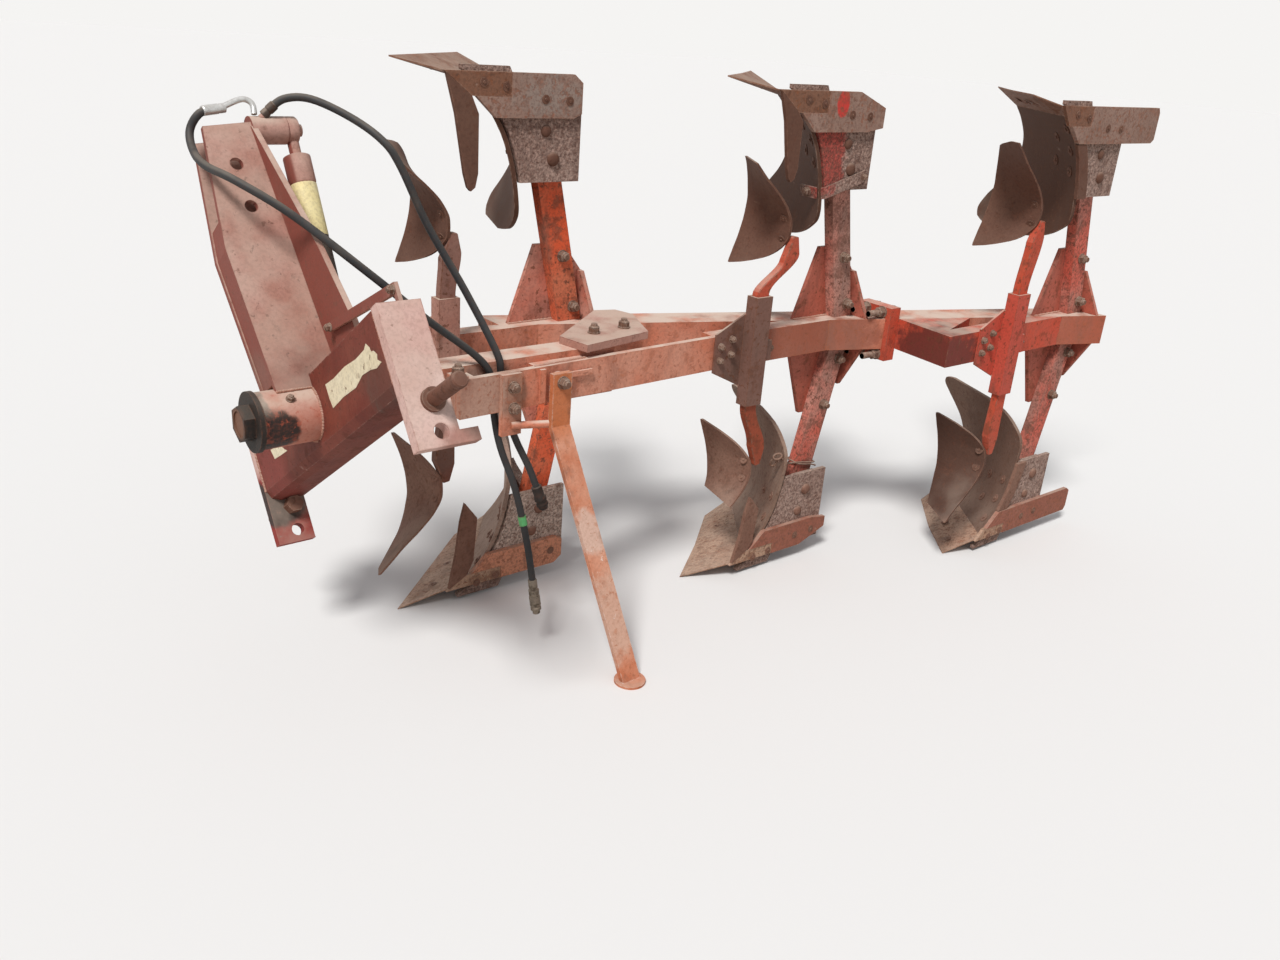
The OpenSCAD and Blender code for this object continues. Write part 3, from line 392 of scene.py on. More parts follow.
@dataclass(frozen=True)
class Finish:
    """One weathered finish: paint or steel, with patches, rust, edge wear and dust."""

    name: str
    paint: Colour
    faded: Colour
    grime: Colour = (92, 72, 62)
    rust: Colour = (120, 72, 48)
    deep_rust: Colour = (78, 48, 36)
    edge: Colour = (150, 110, 92)
    dust: Colour = (208, 190, 172)
    fade_scale: float = 5.0
    rust_scale: float = 24.0
    rust_level: float = 0.62
    grime_level: float = 0.66
    edge_gain: float = 5.0
    scratch: float = 0.35
    dust_amount: float = 0.5
    roughness: float = 0.62
    rust_roughness: float = 0.9
    metallic: float = 0.0
    relief: float = 0.0004
    pit_share: float = 0.25
    coat: float = 0.0
    rust_share: float = 0.7
    stipple: float = 0.2
    shine: float = 0.25
    zones: tuple[Zone, ...] = ()

    def build(self, groups: dict[str, Tree]) -> Material:
        """Make the material.

        Args:
            groups: The shared shader node groups by name.

        Returns:
            The finished material.
        """
        material = bpy.data.materials.new(self.name)
        material.use_nodes = True
        sketch = Sketch(material.node_tree)
        shader = material.node_tree.nodes["Principled BSDF"]

        def mask(group: str, **inputs: object) -> Socket:
            """Place a shared group with this finish's own values."""
            named = {label.replace("_", " "): value for label, value in inputs.items()}
            return sketch.node("ShaderNodeGroup", named, node_tree=groups[group]).outputs[0]

        shift = (sum(map(ord, self.name)) % 97) * 0.37
        fading = mask("blotches", Scale=self.fade_scale, Level=0.5, Softness=0.16, Shift=shift)
        colour = sketch.mix(fading, tint(*self.paint), tint(*self.faded))
        wet = 0.0
        for zone in self.zones:
            all_sides = 0.0 if any(zone.facing) else 1.0
            place = mask("zone", Centre=zone.centre, Reach=zone.reach, Softness=zone.softness,
                         Break_Up=zone.break_up, Facing=zone.facing, All_Sides=all_sides)
            colour = sketch.mix(sketch.times(place, zone.strength), colour, tint(*zone.colour))
            if zone.gloss:
                wet = sketch.math("MAXIMUM", wet, sketch.times(place, zone.gloss))
        grime = mask("blotches", Scale=self.fade_scale * 2.3, Stretch=0.35, Level=self.grime_level,
                     Softness=0.1, Shift=shift + 3)
        colour = sketch.mix(sketch.times(grime, 0.7), colour, tint(*self.grime))
        coarse = mask("blotches", Scale=self.rust_scale, Level=self.rust_level, Softness=0.05,
                      Shift=shift + 7)
        chips = mask("blotches", Scale=self.rust_scale * 3.2, Level=self.rust_level, Softness=0.03,
                     Shift=shift + 17)
        patches = sketch.math("MAXIMUM", sketch.times(coarse, 0.75), chips)
        speckle = mask("blotches", Scale=150.0, Level=0.53, Softness=0.1, Shift=shift + 23)
        colour = sketch.mix(sketch.times(speckle, self.stipple), colour, tint(*self.deep_rust))
        edges = mask("edge_wear", Radius=0.004, Gain=self.edge_gain)
        fine = mask("blotches", Scale=self.rust_scale * 5, Level=0.5, Softness=0.2, Shift=shift + 11)
        rusty = sketch.times(patches, self.rust_share)
        colour = sketch.mix(rusty, colour, sketch.mix(fine, tint(*self.rust), tint(*self.deep_rust)))
        colour = sketch.mix(edges, colour, sketch.mix(fine, tint(*self.edge), tint(*self.rust)))
        colour = sketch.mix(mask("scratches", Amount=self.scratch), colour, tint(*self.edge))
        dusty = mask("settled_dust", Amount=self.dust_amount)
        colour = sketch.mix(dusty, colour, tint(*self.dust))
        worn = sketch.math("MAXIMUM", sketch.math("MAXIMUM", rusty, edges), dusty)
        dry = sketch.node("ShaderNodeMapRange", {0: worn, 3: self.roughness, 4: self.rust_roughness})
        roughness = sketch.math("SUBTRACT", dry, sketch.times(wet, 0.4))
        raised = sketch.math("SUBTRACT", mask("pitted_height", Pit_Share=self.pit_share),
                             sketch.times(rusty, 0.35))
        bump = sketch.node("ShaderNodeBump", {"Height": raised, "Distance": self.relief, "Strength": 1.0})
        links = material.node_tree.links
        links.new(colour, shader.inputs["Base Color"])
        links.new(roughness, shader.inputs["Roughness"])
        links.new(bump.outputs[0], shader.inputs["Normal"])
        shader.inputs["Metallic"].default_value = self.metallic
        shader.inputs["Specular IOR Level"].default_value = self.shine
        shader.inputs["Coat Weight"].default_value = self.coat
        return material


GREASE = (38, 33, 31)
# Middle and reach of the half of the plough that the upper bodies fill, in metres, where painted shade
# darkens their steel
UPPER_HALF_SHADE = ((0.0, 0.0, 1.22), (3.0, 3.0, 0.42))
FINISHES = (
    Finish("faded_paint", (166, 116, 100), (190, 148, 134), edge_gain=7.0, grime=(128, 92, 80),
           edge=(130, 68, 56), rust=(134, 90, 74), deep_rust=(98, 70, 60), rust_level=0.645,
           rust_share=0.75, dust_amount=0.6, zones=(
           # painted shade: faces round the mast that point forward get a darker red
           Zone(head_spot(0, 0, 330), (0.4, 0.5, 0.5), (128, 62, 51), strength=0.9, softness=0.3,
                break_up=0.8, facing=head_way(1, 0, 0)),
           Zone(head_spot(52, -24, 96), (0.09, 0.09, 0.06), (118, 92, 80), strength=0.6, softness=0.3),
           Zone(head_spot(60, 0, 30), (0.16, 0.11, 0.09), (150, 96, 84), strength=0.5, softness=0.4))),
    Finish("link_paint", (202, 162, 150), (222, 190, 180), grime=(168, 132, 118), edge=(150, 84, 70),
           rust=(142, 102, 88), deep_rust=(112, 80, 70), rust_level=0.655, rust_share=0.65, edge_gain=7.0,
           dust_amount=0.6, zones=(
           Zone(head_spot(10, -400, -150), (0.14, 0.12, 0.13), (142, 44, 38), strength=1.0),
           Zone(head_spot(40, -400, -98), (0.08, 0.07, 0.045), GREASE, strength=0.96, break_up=0.7,
                gloss=0.2),
           Zone(head_spot(-60, 400, -185), (0.06, 0.06, 0.03), (150, 92, 78), strength=0.7, softness=0.3))),
    Finish("hub_paint", (186, 118, 98), (198, 160, 146), edge=(196, 166, 150), rust=(190, 92, 66),
           deep_rust=(150, 78, 60), rust_level=0.6, rust_share=0.6, dust_amount=0.7, zones=(
           Zone(head_spot(164, 0, 0), (0.022, 0.09, 0.09), GREASE, strength=0.97, softness=0.12,
                break_up=0.9, gloss=0.4),
           Zone(head_spot(140, 46, -50), (0.05, 0.05, 0.05), GREASE, strength=0.97, softness=0.12,
                break_up=0.9, gloss=0.4))),
    Finish("crossbar_paint", (106, 46, 36), (128, 64, 50), edge=(190, 150, 134), rust=(104, 60, 48),
           rust_share=0.6, dust_amount=0.6, scratch=0.4, fade_scale=7.0, zones=(
           Zone(head_spot(50, 350, -60), (0.08, 0.12, 0.05), (90, 60, 50), strength=0.5, softness=0.4),
           Zone(head_spot(50, -330, -40), (0.08, 0.1, 0.09), (132, 58, 52), strength=0.6, softness=0.4))),
    Finish("vivid_paint", (206, 76, 50), (186, 88, 68), edge=(150, 112, 96), grime=(112, 58, 48),
           grime_level=0.6, dust_amount=0.55, scratch=0.45, zones=(
           # painted shade: a dark red-brown patch on the rear bar
           Zone(spot(-1384, 489, 640), (0.12, 0.12, 0.075), (92, 46, 42), softness=0.2, break_up=1.4),)),
    Finish("gusset_paint", (204, 118, 96), (206, 148, 130), edge=(140, 96, 80), rust_level=0.6,
           grime=(120, 72, 60), grime_level=0.57, dust_amount=0.6, scratch=0.4, zones=(
           Zone(LOWER[1].spot(-450, 0, 656), (0.3, 0.2, 0.3), (166, 80, 62), strength=0.75, softness=0.2,
                break_up=1.2),
           Zone(LOWER[2].spot(-450, 0, 656), (0.3, 0.2, 0.3), (170, 78, 60), strength=0.75, softness=0.2,
                break_up=1.2))),
    Finish("sleeve_paint", (176, 124, 108), (188, 146, 130), edge=(128, 92, 76), rust_level=0.6,
           grime_level=0.6, dust_amount=0.6, scratch=0.4, zones=(
           Zone(LOWER[2].spot(-118, 30, 656), (0.2, 0.2, 0.3), (196, 66, 46), softness=0.1, break_up=0.3),
           # the middle sleeve's grey-brown wear, made darker by painted shade
           Zone(LOWER[1].spot(-118, 50, 656), (0.2, 0.2, 0.3), (100, 70, 60), strength=0.8, softness=0.1,
                break_up=0.3))),
    Finish("stem_paint", (198, 74, 48), (180, 86, 64), edge=(150, 112, 96), rust_level=0.6,
           grime=(120, 64, 50), dust_amount=0.4, scratch=0.5, zones=(
           Zone(LOWER[0].spot(-118, 30, 760), (0.25, 0.2, 0.4), (140, 110, 98), strength=0.88, softness=0.1,
                break_up=0.3),
           # painted shade: the front lower stem darker
           Zone(LOWER[0].spot(-118, 30, 380), (0.2, 0.2, 0.16), (92, 64, 54), softness=0.2, break_up=0.3),
           Zone(LOWER[1].spot(-118, 30, 420), (0.2, 0.2, 0.2), (140, 70, 46), strength=0.8, softness=0.1,
                break_up=0.3))),
    Finish("worn_paint", (204, 118, 88), (210, 146, 122), grime=(140, 94, 78), grime_level=0.6,
           edge=(172, 108, 80), rust=(176, 96, 58), deep_rust=(116, 76, 62), rust_level=0.59,
           rust_share=0.5, rust_scale=26.0, dust_amount=0.85, scratch=0.3, relief=0.0005,
           dust=(216, 198, 182), zones=(
           Zone(spot(-40, 300, 656), (0.085, 0.08, 0.07), (172, 146, 130), strength=0.7, softness=0.3,
                break_up=1.0),
           Zone(spot(-125, 300, 640), (0.035, 0.04, 0.09), (150, 112, 92), strength=0.7, softness=0.2,
                break_up=0.8),
           Zone(spot(-1090, 310, 650), (0.26, 0.25, 0.09), (142, 78, 60), strength=0.75, softness=0.3,
                break_up=1.6),
           Zone(spot(-2000, 550, 650), (0.26, 0.25, 0.09), (150, 74, 56), strength=0.7, softness=0.3,
                break_up=1.6))),
    Finish("orange_paint", (222, 92, 54), (208, 118, 86), grime=(132, 88, 72), grime_level=0.6,
           edge=(120, 86, 72), rust=(132, 90, 72), rust_level=0.59, rust_share=0.8, stipple=0.3,
           scratch=0.5),
    Finish("leg_paint", (206, 100, 82), (204, 142, 126), grime=(146, 120, 108), grime_level=0.52,
           edge=(134, 94, 80), rust=(138, 96, 80), rust_level=0.57, rust_share=0.8, stipple=0.45,
           scratch=0.5),
    Finish("brown_steel", (138, 108, 92), (152, 126, 110), grime=(88, 70, 62), rust=(132, 92, 72),
           stipple=0.25, deep_rust=(84, 64, 56), edge=(158, 136, 122), rust_level=0.6, rust_share=0.5,
           rust_scale=22.0, roughness=0.7, shine=0.12, metallic=0.15, pit_share=0.35, dust_amount=0.25,
           scratch=0.5, zones=(
           # painted shade: the upper bodies' mouldboards darker
           Zone(*UPPER_HALF_SHADE, (84, 54, 41), strength=0.9, softness=0.08, break_up=0.3),
           # painted light: the front lower mouldboard lighter
           Zone(LOWER[0].spot(-260, -60, 220), (0.25, 0.35, 0.25), (168, 142, 128), strength=0.6,
                softness=0.2, break_up=0.5),
           # painted shade: the rear lower mouldboard darker
           Zone(LOWER[2].spot(-260, -60, 240), (0.25, 0.35, 0.3), (104, 76, 64), strength=0.6, softness=0.2,
                break_up=0.5))),
    Finish("skim_steel", (126, 90, 76), (142, 108, 92), grime=(76, 54, 46), rust=(122, 78, 60),
           stipple=0.25, deep_rust=(76, 54, 46), edge=(150, 118, 100), rust_level=0.6, rust_share=0.5,
           rust_scale=22.0, roughness=0.7, shine=0.12, metallic=0.15, pit_share=0.35, dust_amount=0.25,
           scratch=0.4, zones=(
           # painted shade: the upper bodies' skim blades darker
           Zone(*UPPER_HALF_SHADE, (92, 62, 50), strength=0.65, softness=0.08, break_up=0.3),
           # painted shade: the rear lower skim blade darker
           Zone(LOWER[2].spot(-80, -40, 280), (0.17, 0.2, 0.2), (72, 50, 42), strength=0.75, softness=0.1,
                break_up=0.3))),
    Finish("pitted_rust", (196, 166, 152), (176, 144, 130), grime=(108, 82, 72), rust=(140, 98, 80),
           stipple=0.6, deep_rust=(90, 66, 58), edge=(128, 98, 86), rust_level=0.56, rust_share=0.6,
           rust_scale=44.0, roughness=0.85, relief=0.0025, pit_share=1.0, dust_amount=0.45, scratch=0.05,
           zones=(
           Zone(UPPER[1].spot(-292, 38, 178), (0.075, 0.06, 0.1), (196, 72, 60), break_up=1.2),
           # painted light: the front lower frog lighter
           Zone(LOWER[0].spot(-380, 38, 170), (0.16, 0.12, 0.13), (226, 200, 184), strength=0.9,
                softness=0.2))),
    Finish("share_metal", (176, 134, 110), (188, 154, 130), grime=(98, 72, 60), rust=(150, 92, 62),
           deep_rust=(84, 62, 52), edge=(176, 154, 138), rust_level=0.57, stipple=0.35, rust_scale=30.0,
           roughness=0.6, metallic=0.2, relief=0.0006, pit_share=0.5, dust_amount=0.25, scratch=0.6,
           edge_gain=9.0, zones=(
           # painted shade: the upper bodies' shares darker
           Zone(*UPPER_HALF_SHADE, (122, 80, 60), softness=0.08, break_up=0.3),)),
    Finish("landside_rust", (158, 128, 114), (142, 112, 98), rust=(158, 96, 68), deep_rust=(96, 70, 60),
           edge=(166, 140, 124), stipple=0.4, rust_level=0.57, rust_share=0.6, roughness=0.75,
           relief=0.0006, dust_amount=0.35, scratch=0.5, zones=(
           Zone((0.0, 0.0, 0.06), (3.0, 3.0, 0.14), (158, 84, 62), strength=0.7, softness=0.2,
                break_up=1.4),
           Zone(UPPER[1].spot(-322, 50, 50), (0.022, 0.05, 0.034), (206, 62, 54), strength=0.95,
                softness=0.1),
           Zone(UPPER[0].spot(-380, 50, 70), (0.09, 0.05, 0.05), (152, 136, 126), strength=0.7,
                softness=0.4, break_up=2.6),
           # painted light: the front lower landside lighter
           Zone(LOWER[0].spot(-340, 50, 100), (0.2, 0.1, 0.09), (220, 150, 118), strength=0.8, softness=0.2,
                break_up=1.2))),
    Finish("dark_iron", (64, 56, 52), (84, 72, 64), grime=(40, 36, 34), rust=(96, 66, 50),
           deep_rust=(60, 44, 38), edge=(132, 120, 110), rust_level=0.6, roughness=0.55, metallic=0.5,
           dust_amount=0.35, scratch=0.4),
    Finish("pin_iron", (108, 70, 56), (126, 88, 72), grime=(70, 50, 44), rust=(124, 78, 58),
           deep_rust=(78, 54, 46), edge=(160, 140, 126), rust_level=0.58, roughness=0.55, metallic=0.2,
           dust_amount=0.12, scratch=0.4),
    Finish("bolt_steel", (110, 84, 70), (130, 102, 88), grime=(90, 74, 66), rust=(146, 102, 78),
           deep_rust=(98, 70, 58), edge=(180, 168, 156), rust_level=0.55, rust_scale=60.0, roughness=0.6,
           metallic=0.3, dust_amount=0.25, scratch=0.2),
    Finish("stand_paint", (208, 146, 118), (190, 108, 72), edge=(224, 206, 194), rust=(186, 104, 56),
           deep_rust=(140, 86, 62), rust_share=0.6, dust_amount=0.4, scratch=0.8, fade_scale=9.0, zones=(
           Zone(spot(-280, 520, 150), (0.05, 0.08, 0.11), (206, 172, 152), strength=0.7, softness=0.3,
                break_up=1.9),
           Zone(spot(-262, 440, 330), (0.05, 0.06, 0.05), (212, 186, 170), strength=0.7, softness=0.3,
                break_up=1.9),
           Zone(spot(-243, 330, 620), (0.05, 0.05, 0.08), (198, 112, 62), strength=0.7, softness=0.3,
                break_up=0.8))),
    Finish("rod_chrome", (150, 146, 140), (120, 114, 108), grime=(90, 84, 78), edge=(180, 176, 170),
           rust_level=0.7, roughness=0.3, metallic=0.85, relief=0.0001, dust_amount=0.2, scratch=0.2),
    Finish("plated_pipe", (196, 196, 194), (214, 214, 212), grime=(150, 146, 140), edge=(224, 224, 222),
           rust_level=0.78, roughness=0.28, metallic=0.8, relief=0.0001, dust_amount=0.15, scratch=0.1),
    Finish("worn_brass", (142, 128, 114), (120, 110, 100), grime=(70, 62, 54), edge=(190, 178, 156),
           rust=(96, 84, 70), deep_rust=(60, 54, 46), rust_level=0.55, roughness=0.45, metallic=0.6,
           relief=0.0003, dust_amount=0.2),
    Finish("hose_rubber", (42, 44, 46), (58, 58, 58), grime=(84, 76, 68), edge=(70, 68, 66), rust_level=0.9,
           rust=(90, 80, 70), roughness=0.55, dust=(150, 138, 124), dust_amount=0.4, scratch=0.15,
           relief=0.0002),
    Finish("cream_film", (232, 220, 190), (222, 206, 172), grime=(176, 156, 126), edge=(240, 234, 216),
           rust=(168, 128, 96), rust_level=0.64, roughness=0.5, relief=0.00005, dust_amount=0.2,
           scratch=0.3),
    Finish("yellow_band", (240, 226, 170), (230, 208, 140), grime=(170, 150, 110), edge=(230, 220, 190),
           rust_level=0.72, roughness=0.5, relief=0.0001, dust_amount=0.3),
    Finish("green_tape", (74, 160, 92), (96, 176, 110), grime=(80, 110, 80), edge=(120, 186, 130),
           rust_level=0.9, roughness=0.6, relief=0.0001, dust_amount=0.3, scratch=0.1),
    Finish("black_grease", (34, 30, 28), (48, 42, 38), grime=(60, 48, 40), edge=(70, 62, 56),
           rust_level=0.72, roughness=0.6, rust_roughness=0.8, relief=0.0008, dust_amount=0.08,
           scratch=0.05, coat=0.05, zones=(
           Zone(head_spot(190, 0, 0), (0.012, 0.03, 0.03), (122, 84, 64), strength=0.9, softness=0.2,
                break_up=0.5),)),
    Finish("weld_metal", (176, 124, 106), (190, 146, 130), grime=(132, 96, 82), rust=(160, 104, 80),
           deep_rust=(120, 84, 70), rust_level=0.6, rust_share=0.6, roughness=0.7, relief=0.0003),
)


class Palette:
    """All finishes, made once."""

    def __init__(self) -> None:
        """Build the shared groups and every material."""
        groups = {"blotches": blotches_group(), "edge_wear": edges_group(), "settled_dust": dust_group(),
                  "pitted_height": pits_group(), "scratches": scratches_group(), "zone": zone_group()}
        self.by_name = {finish.name: finish.build(groups) for finish in FINISHES}

    def __getitem__(self, name: str) -> Material:
        """The material of that name."""
        return self.by_name[name]


# Meshes

def put(name: str, data: bpy.types.ID) -> Piece:
    """Put a mesh, lamp or camera into the scene.

    Args:
        name: The object's name.
        data: What the object holds.

    Returns:
        The new object.
    """
    made = bpy.data.objects.new(name, data)
    bpy.context.scene.collection.objects.link(made)
    return made


def shade(piece: Piece, angle: float) -> Piece:
    """Shade a piece smooth, apart from its edges that are sharper than an angle.

    Args:
        piece: The piece.
        angle: The angle in degrees.

    Returns:
        The same piece.
    """
    piece.data.shade_smooth()
    piece.data.set_sharp_from_angle(angle=math.radians(angle))
    return piece


def solid(name: str, points: Sequence[Sequence[float]], faces: Sequence[Sequence[int]],
          material: Material) -> Piece:
    """Make a mesh object from its points and faces, with its faces turned outwards.

    Args:
        name: The object's name.
        points: Its points in metres.
        faces: The numbers of each face's points.
        material: Its finish.

    Returns:
        The new object.
    """
    mesh = bpy.data.meshes.new(name)
    mesh.from_pydata([tuple(p) for p in points], [], [tuple(f) for f in faces])
    work = bmesh.new()
    work.from_mesh(mesh)
    bmesh.ops.remove_doubles(work, verts=work.verts, dist=1e-6)
    bmesh.ops.recalc_face_normals(work, faces=work.faces)
    work.to_mesh(mesh)
    work.free()
    mesh.shade_flat()
    mesh.materials.append(material)
    return put(name, mesh)


def settle(piece: Piece, body: Body, slot: str) -> Piece:
    """Let a finished piece ride on its body, and report it.

    Args:
        piece: The piece.
        body: The body that it rides on.
        slot: Not used.

    Returns:
        The same piece.
    """
    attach(piece, body.value)
    LOG.info("%s rides on %s, %d faces", piece.name, body.value, len(piece.data.polygons))
    return piece


def join(name: str, parts: Iterable[Piece]) -> Piece:
    """Join objects into one, keeping each part's material.

    Args:
        name: The joined object's name.
        parts: The objects.

    Returns:
        The joined object.
    """
    parts = list(parts)
    with bpy.context.temp_override(active_object=parts[0], selected_editable_objects=parts):
        bpy.ops.object.join()
    parts[0].name = name
    return parts[0]


def soften(piece: Piece, width: float) -> Piece:
    """Round a piece's sharp edges with an applied bevel.

    Args:
        piece: The piece.
        width: The bevel's width in metres.

    Returns:
        The same piece.
    """
    work = bmesh.new()
    work.from_mesh(piece.data)
    sharp = [e for e in work.edges if len(e.link_faces) == 2 and e.calc_face_angle(0) > math.radians(30)]
    bmesh.ops.bevel(work, geom=sharp, offset=width, segments=2, affect="EDGES", clamp_overlap=True)
    work.to_mesh(piece.data)
    work.free()
    return piece


def ring(centre: Vector, side: Vector, up: Vector, radius: float, sides: int) -> list[Vector]:
    """The points of a round ring, from its centre and two unit directions across it."""
    angles = (2 * math.pi * j / sides for j in range(sides))
    return [centre + (side * math.cos(a) + up * math.sin(a)) * radius for a in angles]


def ring_faces(rings: int, sides: int) -> list[tuple[int, ...]]:
    """Faces of a closed tube of rings.

    Args:
        rings: How many rings its points make.
        sides: How many points a ring has.

    Returns:
        The numbers of each face's points, with the two ends last.
    """
    faces = []
    for i in range(rings - 1):
        for j in range(sides):
            k = (j + 1) % sides
            faces.append((i * sides + j, i * sides + k, (i + 1) * sides + k, (i + 1) * sides + j))
    return faces + [tuple(range(sides)), tuple(range((rings - 1) * sides, rings * sides))]


def turned(name: str, profile: Sequence[Place], start: Vector, way: Vector, material: Material,
           sides: int = 32) -> Piece:
    """A closed turned shape.

    Args:
        name: The object's name.
        profile: Distance along the axis and radius of each ring, in millimetres.
        start: Where the distance is zero.
        way: The axis direction.
        material: Its finish.
        sides: Number of sides.

    Returns:
        The new object.
    """
    way = way.normalized()
    side = way.orthogonal().normalized()
    up = way.cross(side)
    points = [point for along, radius in profile
              for point in ring(start + way * (along / 1000), side, up, radius / 1000, sides)]
    return shade(solid(name, points, ring_faces(len(profile), sides), material), 35)


def tube(name: str, path: Sequence[Vector], radius: float, material: Material) -> Piece:
    """A closed smooth tube along a path, turned as little as can be from ring to ring.

    Args:
        name: The object's name.
        path: Its middle line.
        radius: Its radius in metres.
        material: Its finish.

    Returns:
        The new object.
    """
    sides = 20
    last = len(path) - 1
    side = None
    points = []
    for i, here in enumerate(path):
        way = (path[min(i + 1, last)] - path[max(i - 1, 0)]).normalized()
        side = way.orthogonal() if side is None else side - way * side.dot(way)
        side.normalize()
        points += ring(here, side, way.cross(side), radius, sides)
    return shade(solid(name, points, ring_faces(len(path), sides), material), 40)


def smooth_path(route: Sequence[Vector], steps: int) -> list[Vector]:
    """The same curve through a route's points as the solid's.

    Args:
        route: The points.
        steps: How many steps to make between two neighbours.

    Returns:
        The points of the curve.
    """
    last = len(route) - 1
    path = []
    for i in range(last):
        a, b, c, d = (route[max(i - 1, 0)], route[i], route[i + 1], route[min(i + 2, last)])
        for j in range(steps):
            t = j / steps
            path.append((2 * b + (c - a) * t + (2 * a - 5 * b + 4 * c - d) * t ** 2
                         + (3 * b - a - 3 * c + d) * t ** 3) / 2)
    return path + [route[last]]


def plate(name: str, outline: Sequence[Place], place: Callable[[float, float, float], Vector],
          thickness: float, material: Material) -> Piece:
    """A flat plate from its outline.

    Args:
        name: The object's name.
        outline: Corners in two coordinates, in order.
        place: Gives the place of two coordinates and a depth.
        thickness: Depth of the plate, in the units of place.
        material: Its finish.

    Returns:
        The new object.
    """
    n = len(outline)
    points = [place(a, b, 0.0) for a, b in outline] + [place(a, b, thickness) for a, b in outline]
    faces = [tuple(range(n)), tuple(range(n, 2 * n))]
    faces += [(i, (i + 1) % n, n + (i + 1) % n, n + i) for i in range(n)]
    return solid(name, points, faces, material)


def ribbon(name: str, path: Sequence[Vector], across: Vector, width: float, thickness: float,
           material: Material) -> Piece:
    """A flat strip along a path.

    Args:
        name: The object's name.
        path: Its middle line, in metres.
        across: The direction of its width.
        width: Its width in metres.
        thickness: Its thickness in metres.
        material: Its finish.

    Returns:
        The new object.
    """
    points = []
    side = across.normalized() * (width / 2)
    last = len(path) - 1
    for i, here in enumerate(path):
        way = path[min(i + 1, last)] - path[max(i - 1, 0)]
        out = way.cross(across).normalized() * (thickness / 2)
        points += [here - side - out, here + side - out, here + side + out, here - side + out]
    return solid(name, points, ring_faces(len(path), 4), material)


def polyline(name: str, runs: Sequence[Sequence[Vector]]) -> Piece:
    """A helper object whose mesh is only edges.

    Args:
        name: The object's name.
        runs: Rows of points, each joined in order.

    Returns:
        The new object.
    """
    points, edges = [], []
    for run in runs:
        first = len(points)
        points += [tuple(p) for p in run]
        edges += [(first + i, first + i + 1) for i in range(len(run) - 1)]
    mesh = bpy.data.meshes.new(name)
    mesh.from_pydata(points, edges, [])
    return put(name, mesh)


# Geometry Nodes trees

def run_tree(source: Piece, tree: Tree, inputs: dict[str, object], name: str) -> Piece:
    """Run a Geometry Nodes tree on a source object and keep the result as a plain mesh.

    Args:
        source: The object that the tree reads; it is removed.
        tree: The node tree.
        inputs: A value for each named input.
        name: The name of the result.

    Returns:
        The new mesh object.
    """
    modifier = source.modifiers.new("make", "NODES")
    modifier.node_group = tree
    sockets = {i.name: i.identifier for i in tree.interface.items_tree
               if i.item_type == "SOCKET" and i.in_out == "INPUT"}
    for label, value in inputs.items():
        modifier[sockets[label]] = value
    source.update_tag()
    bpy.context.view_layer.update()
    evaluated = source.evaluated_get(bpy.context.evaluated_depsgraph_get())
    mesh = bpy.data.meshes.new_from_object(evaluated)
    mesh.name = name
    made = put(name, mesh)
    source.modifiers.clear()
    bpy.data.objects.remove(source)
    return made


def finish_tree(sketch: Sketch, geometry: object, material: Socket, result: Node) -> Tree:
    """End a tree in Realize Instances and Set Material.

    Args:
        sketch: The tree's sketch.
        geometry: The node or socket that ends its geometry.
        material: The socket with the material.
        result: The tree's output node.

    Returns:
        The node tree.
    """
    real = sketch.node("GeometryNodeRealizeInstances", {0: geometry})
    dressed = sketch.node("GeometryNodeSetMaterial", {"Geometry": real, "Material": material})
    return sketch.close(dressed.outputs[0], result)


def twisted(sketch: Sketch, rotation: object, angle: object) -> Node:
    """A rotation turned further about its own Z axis.

    Args:
        sketch: The tree's sketch.
        rotation: The rotation's node or socket.
        angle: How far to turn it, in radians, as a number, node or socket.

    Returns:
        The node with the new rotation.
    """
    twist = sketch.node("FunctionNodeAxisAngleToRotation", {"Axis": (0.0, 0.0, 1.0), "Angle": angle})
    inputs = {"Rotation": rotation, "Rotate By": twist}
    return sketch.node("FunctionNodeRotateRotation", inputs, rotation_space="LOCAL")


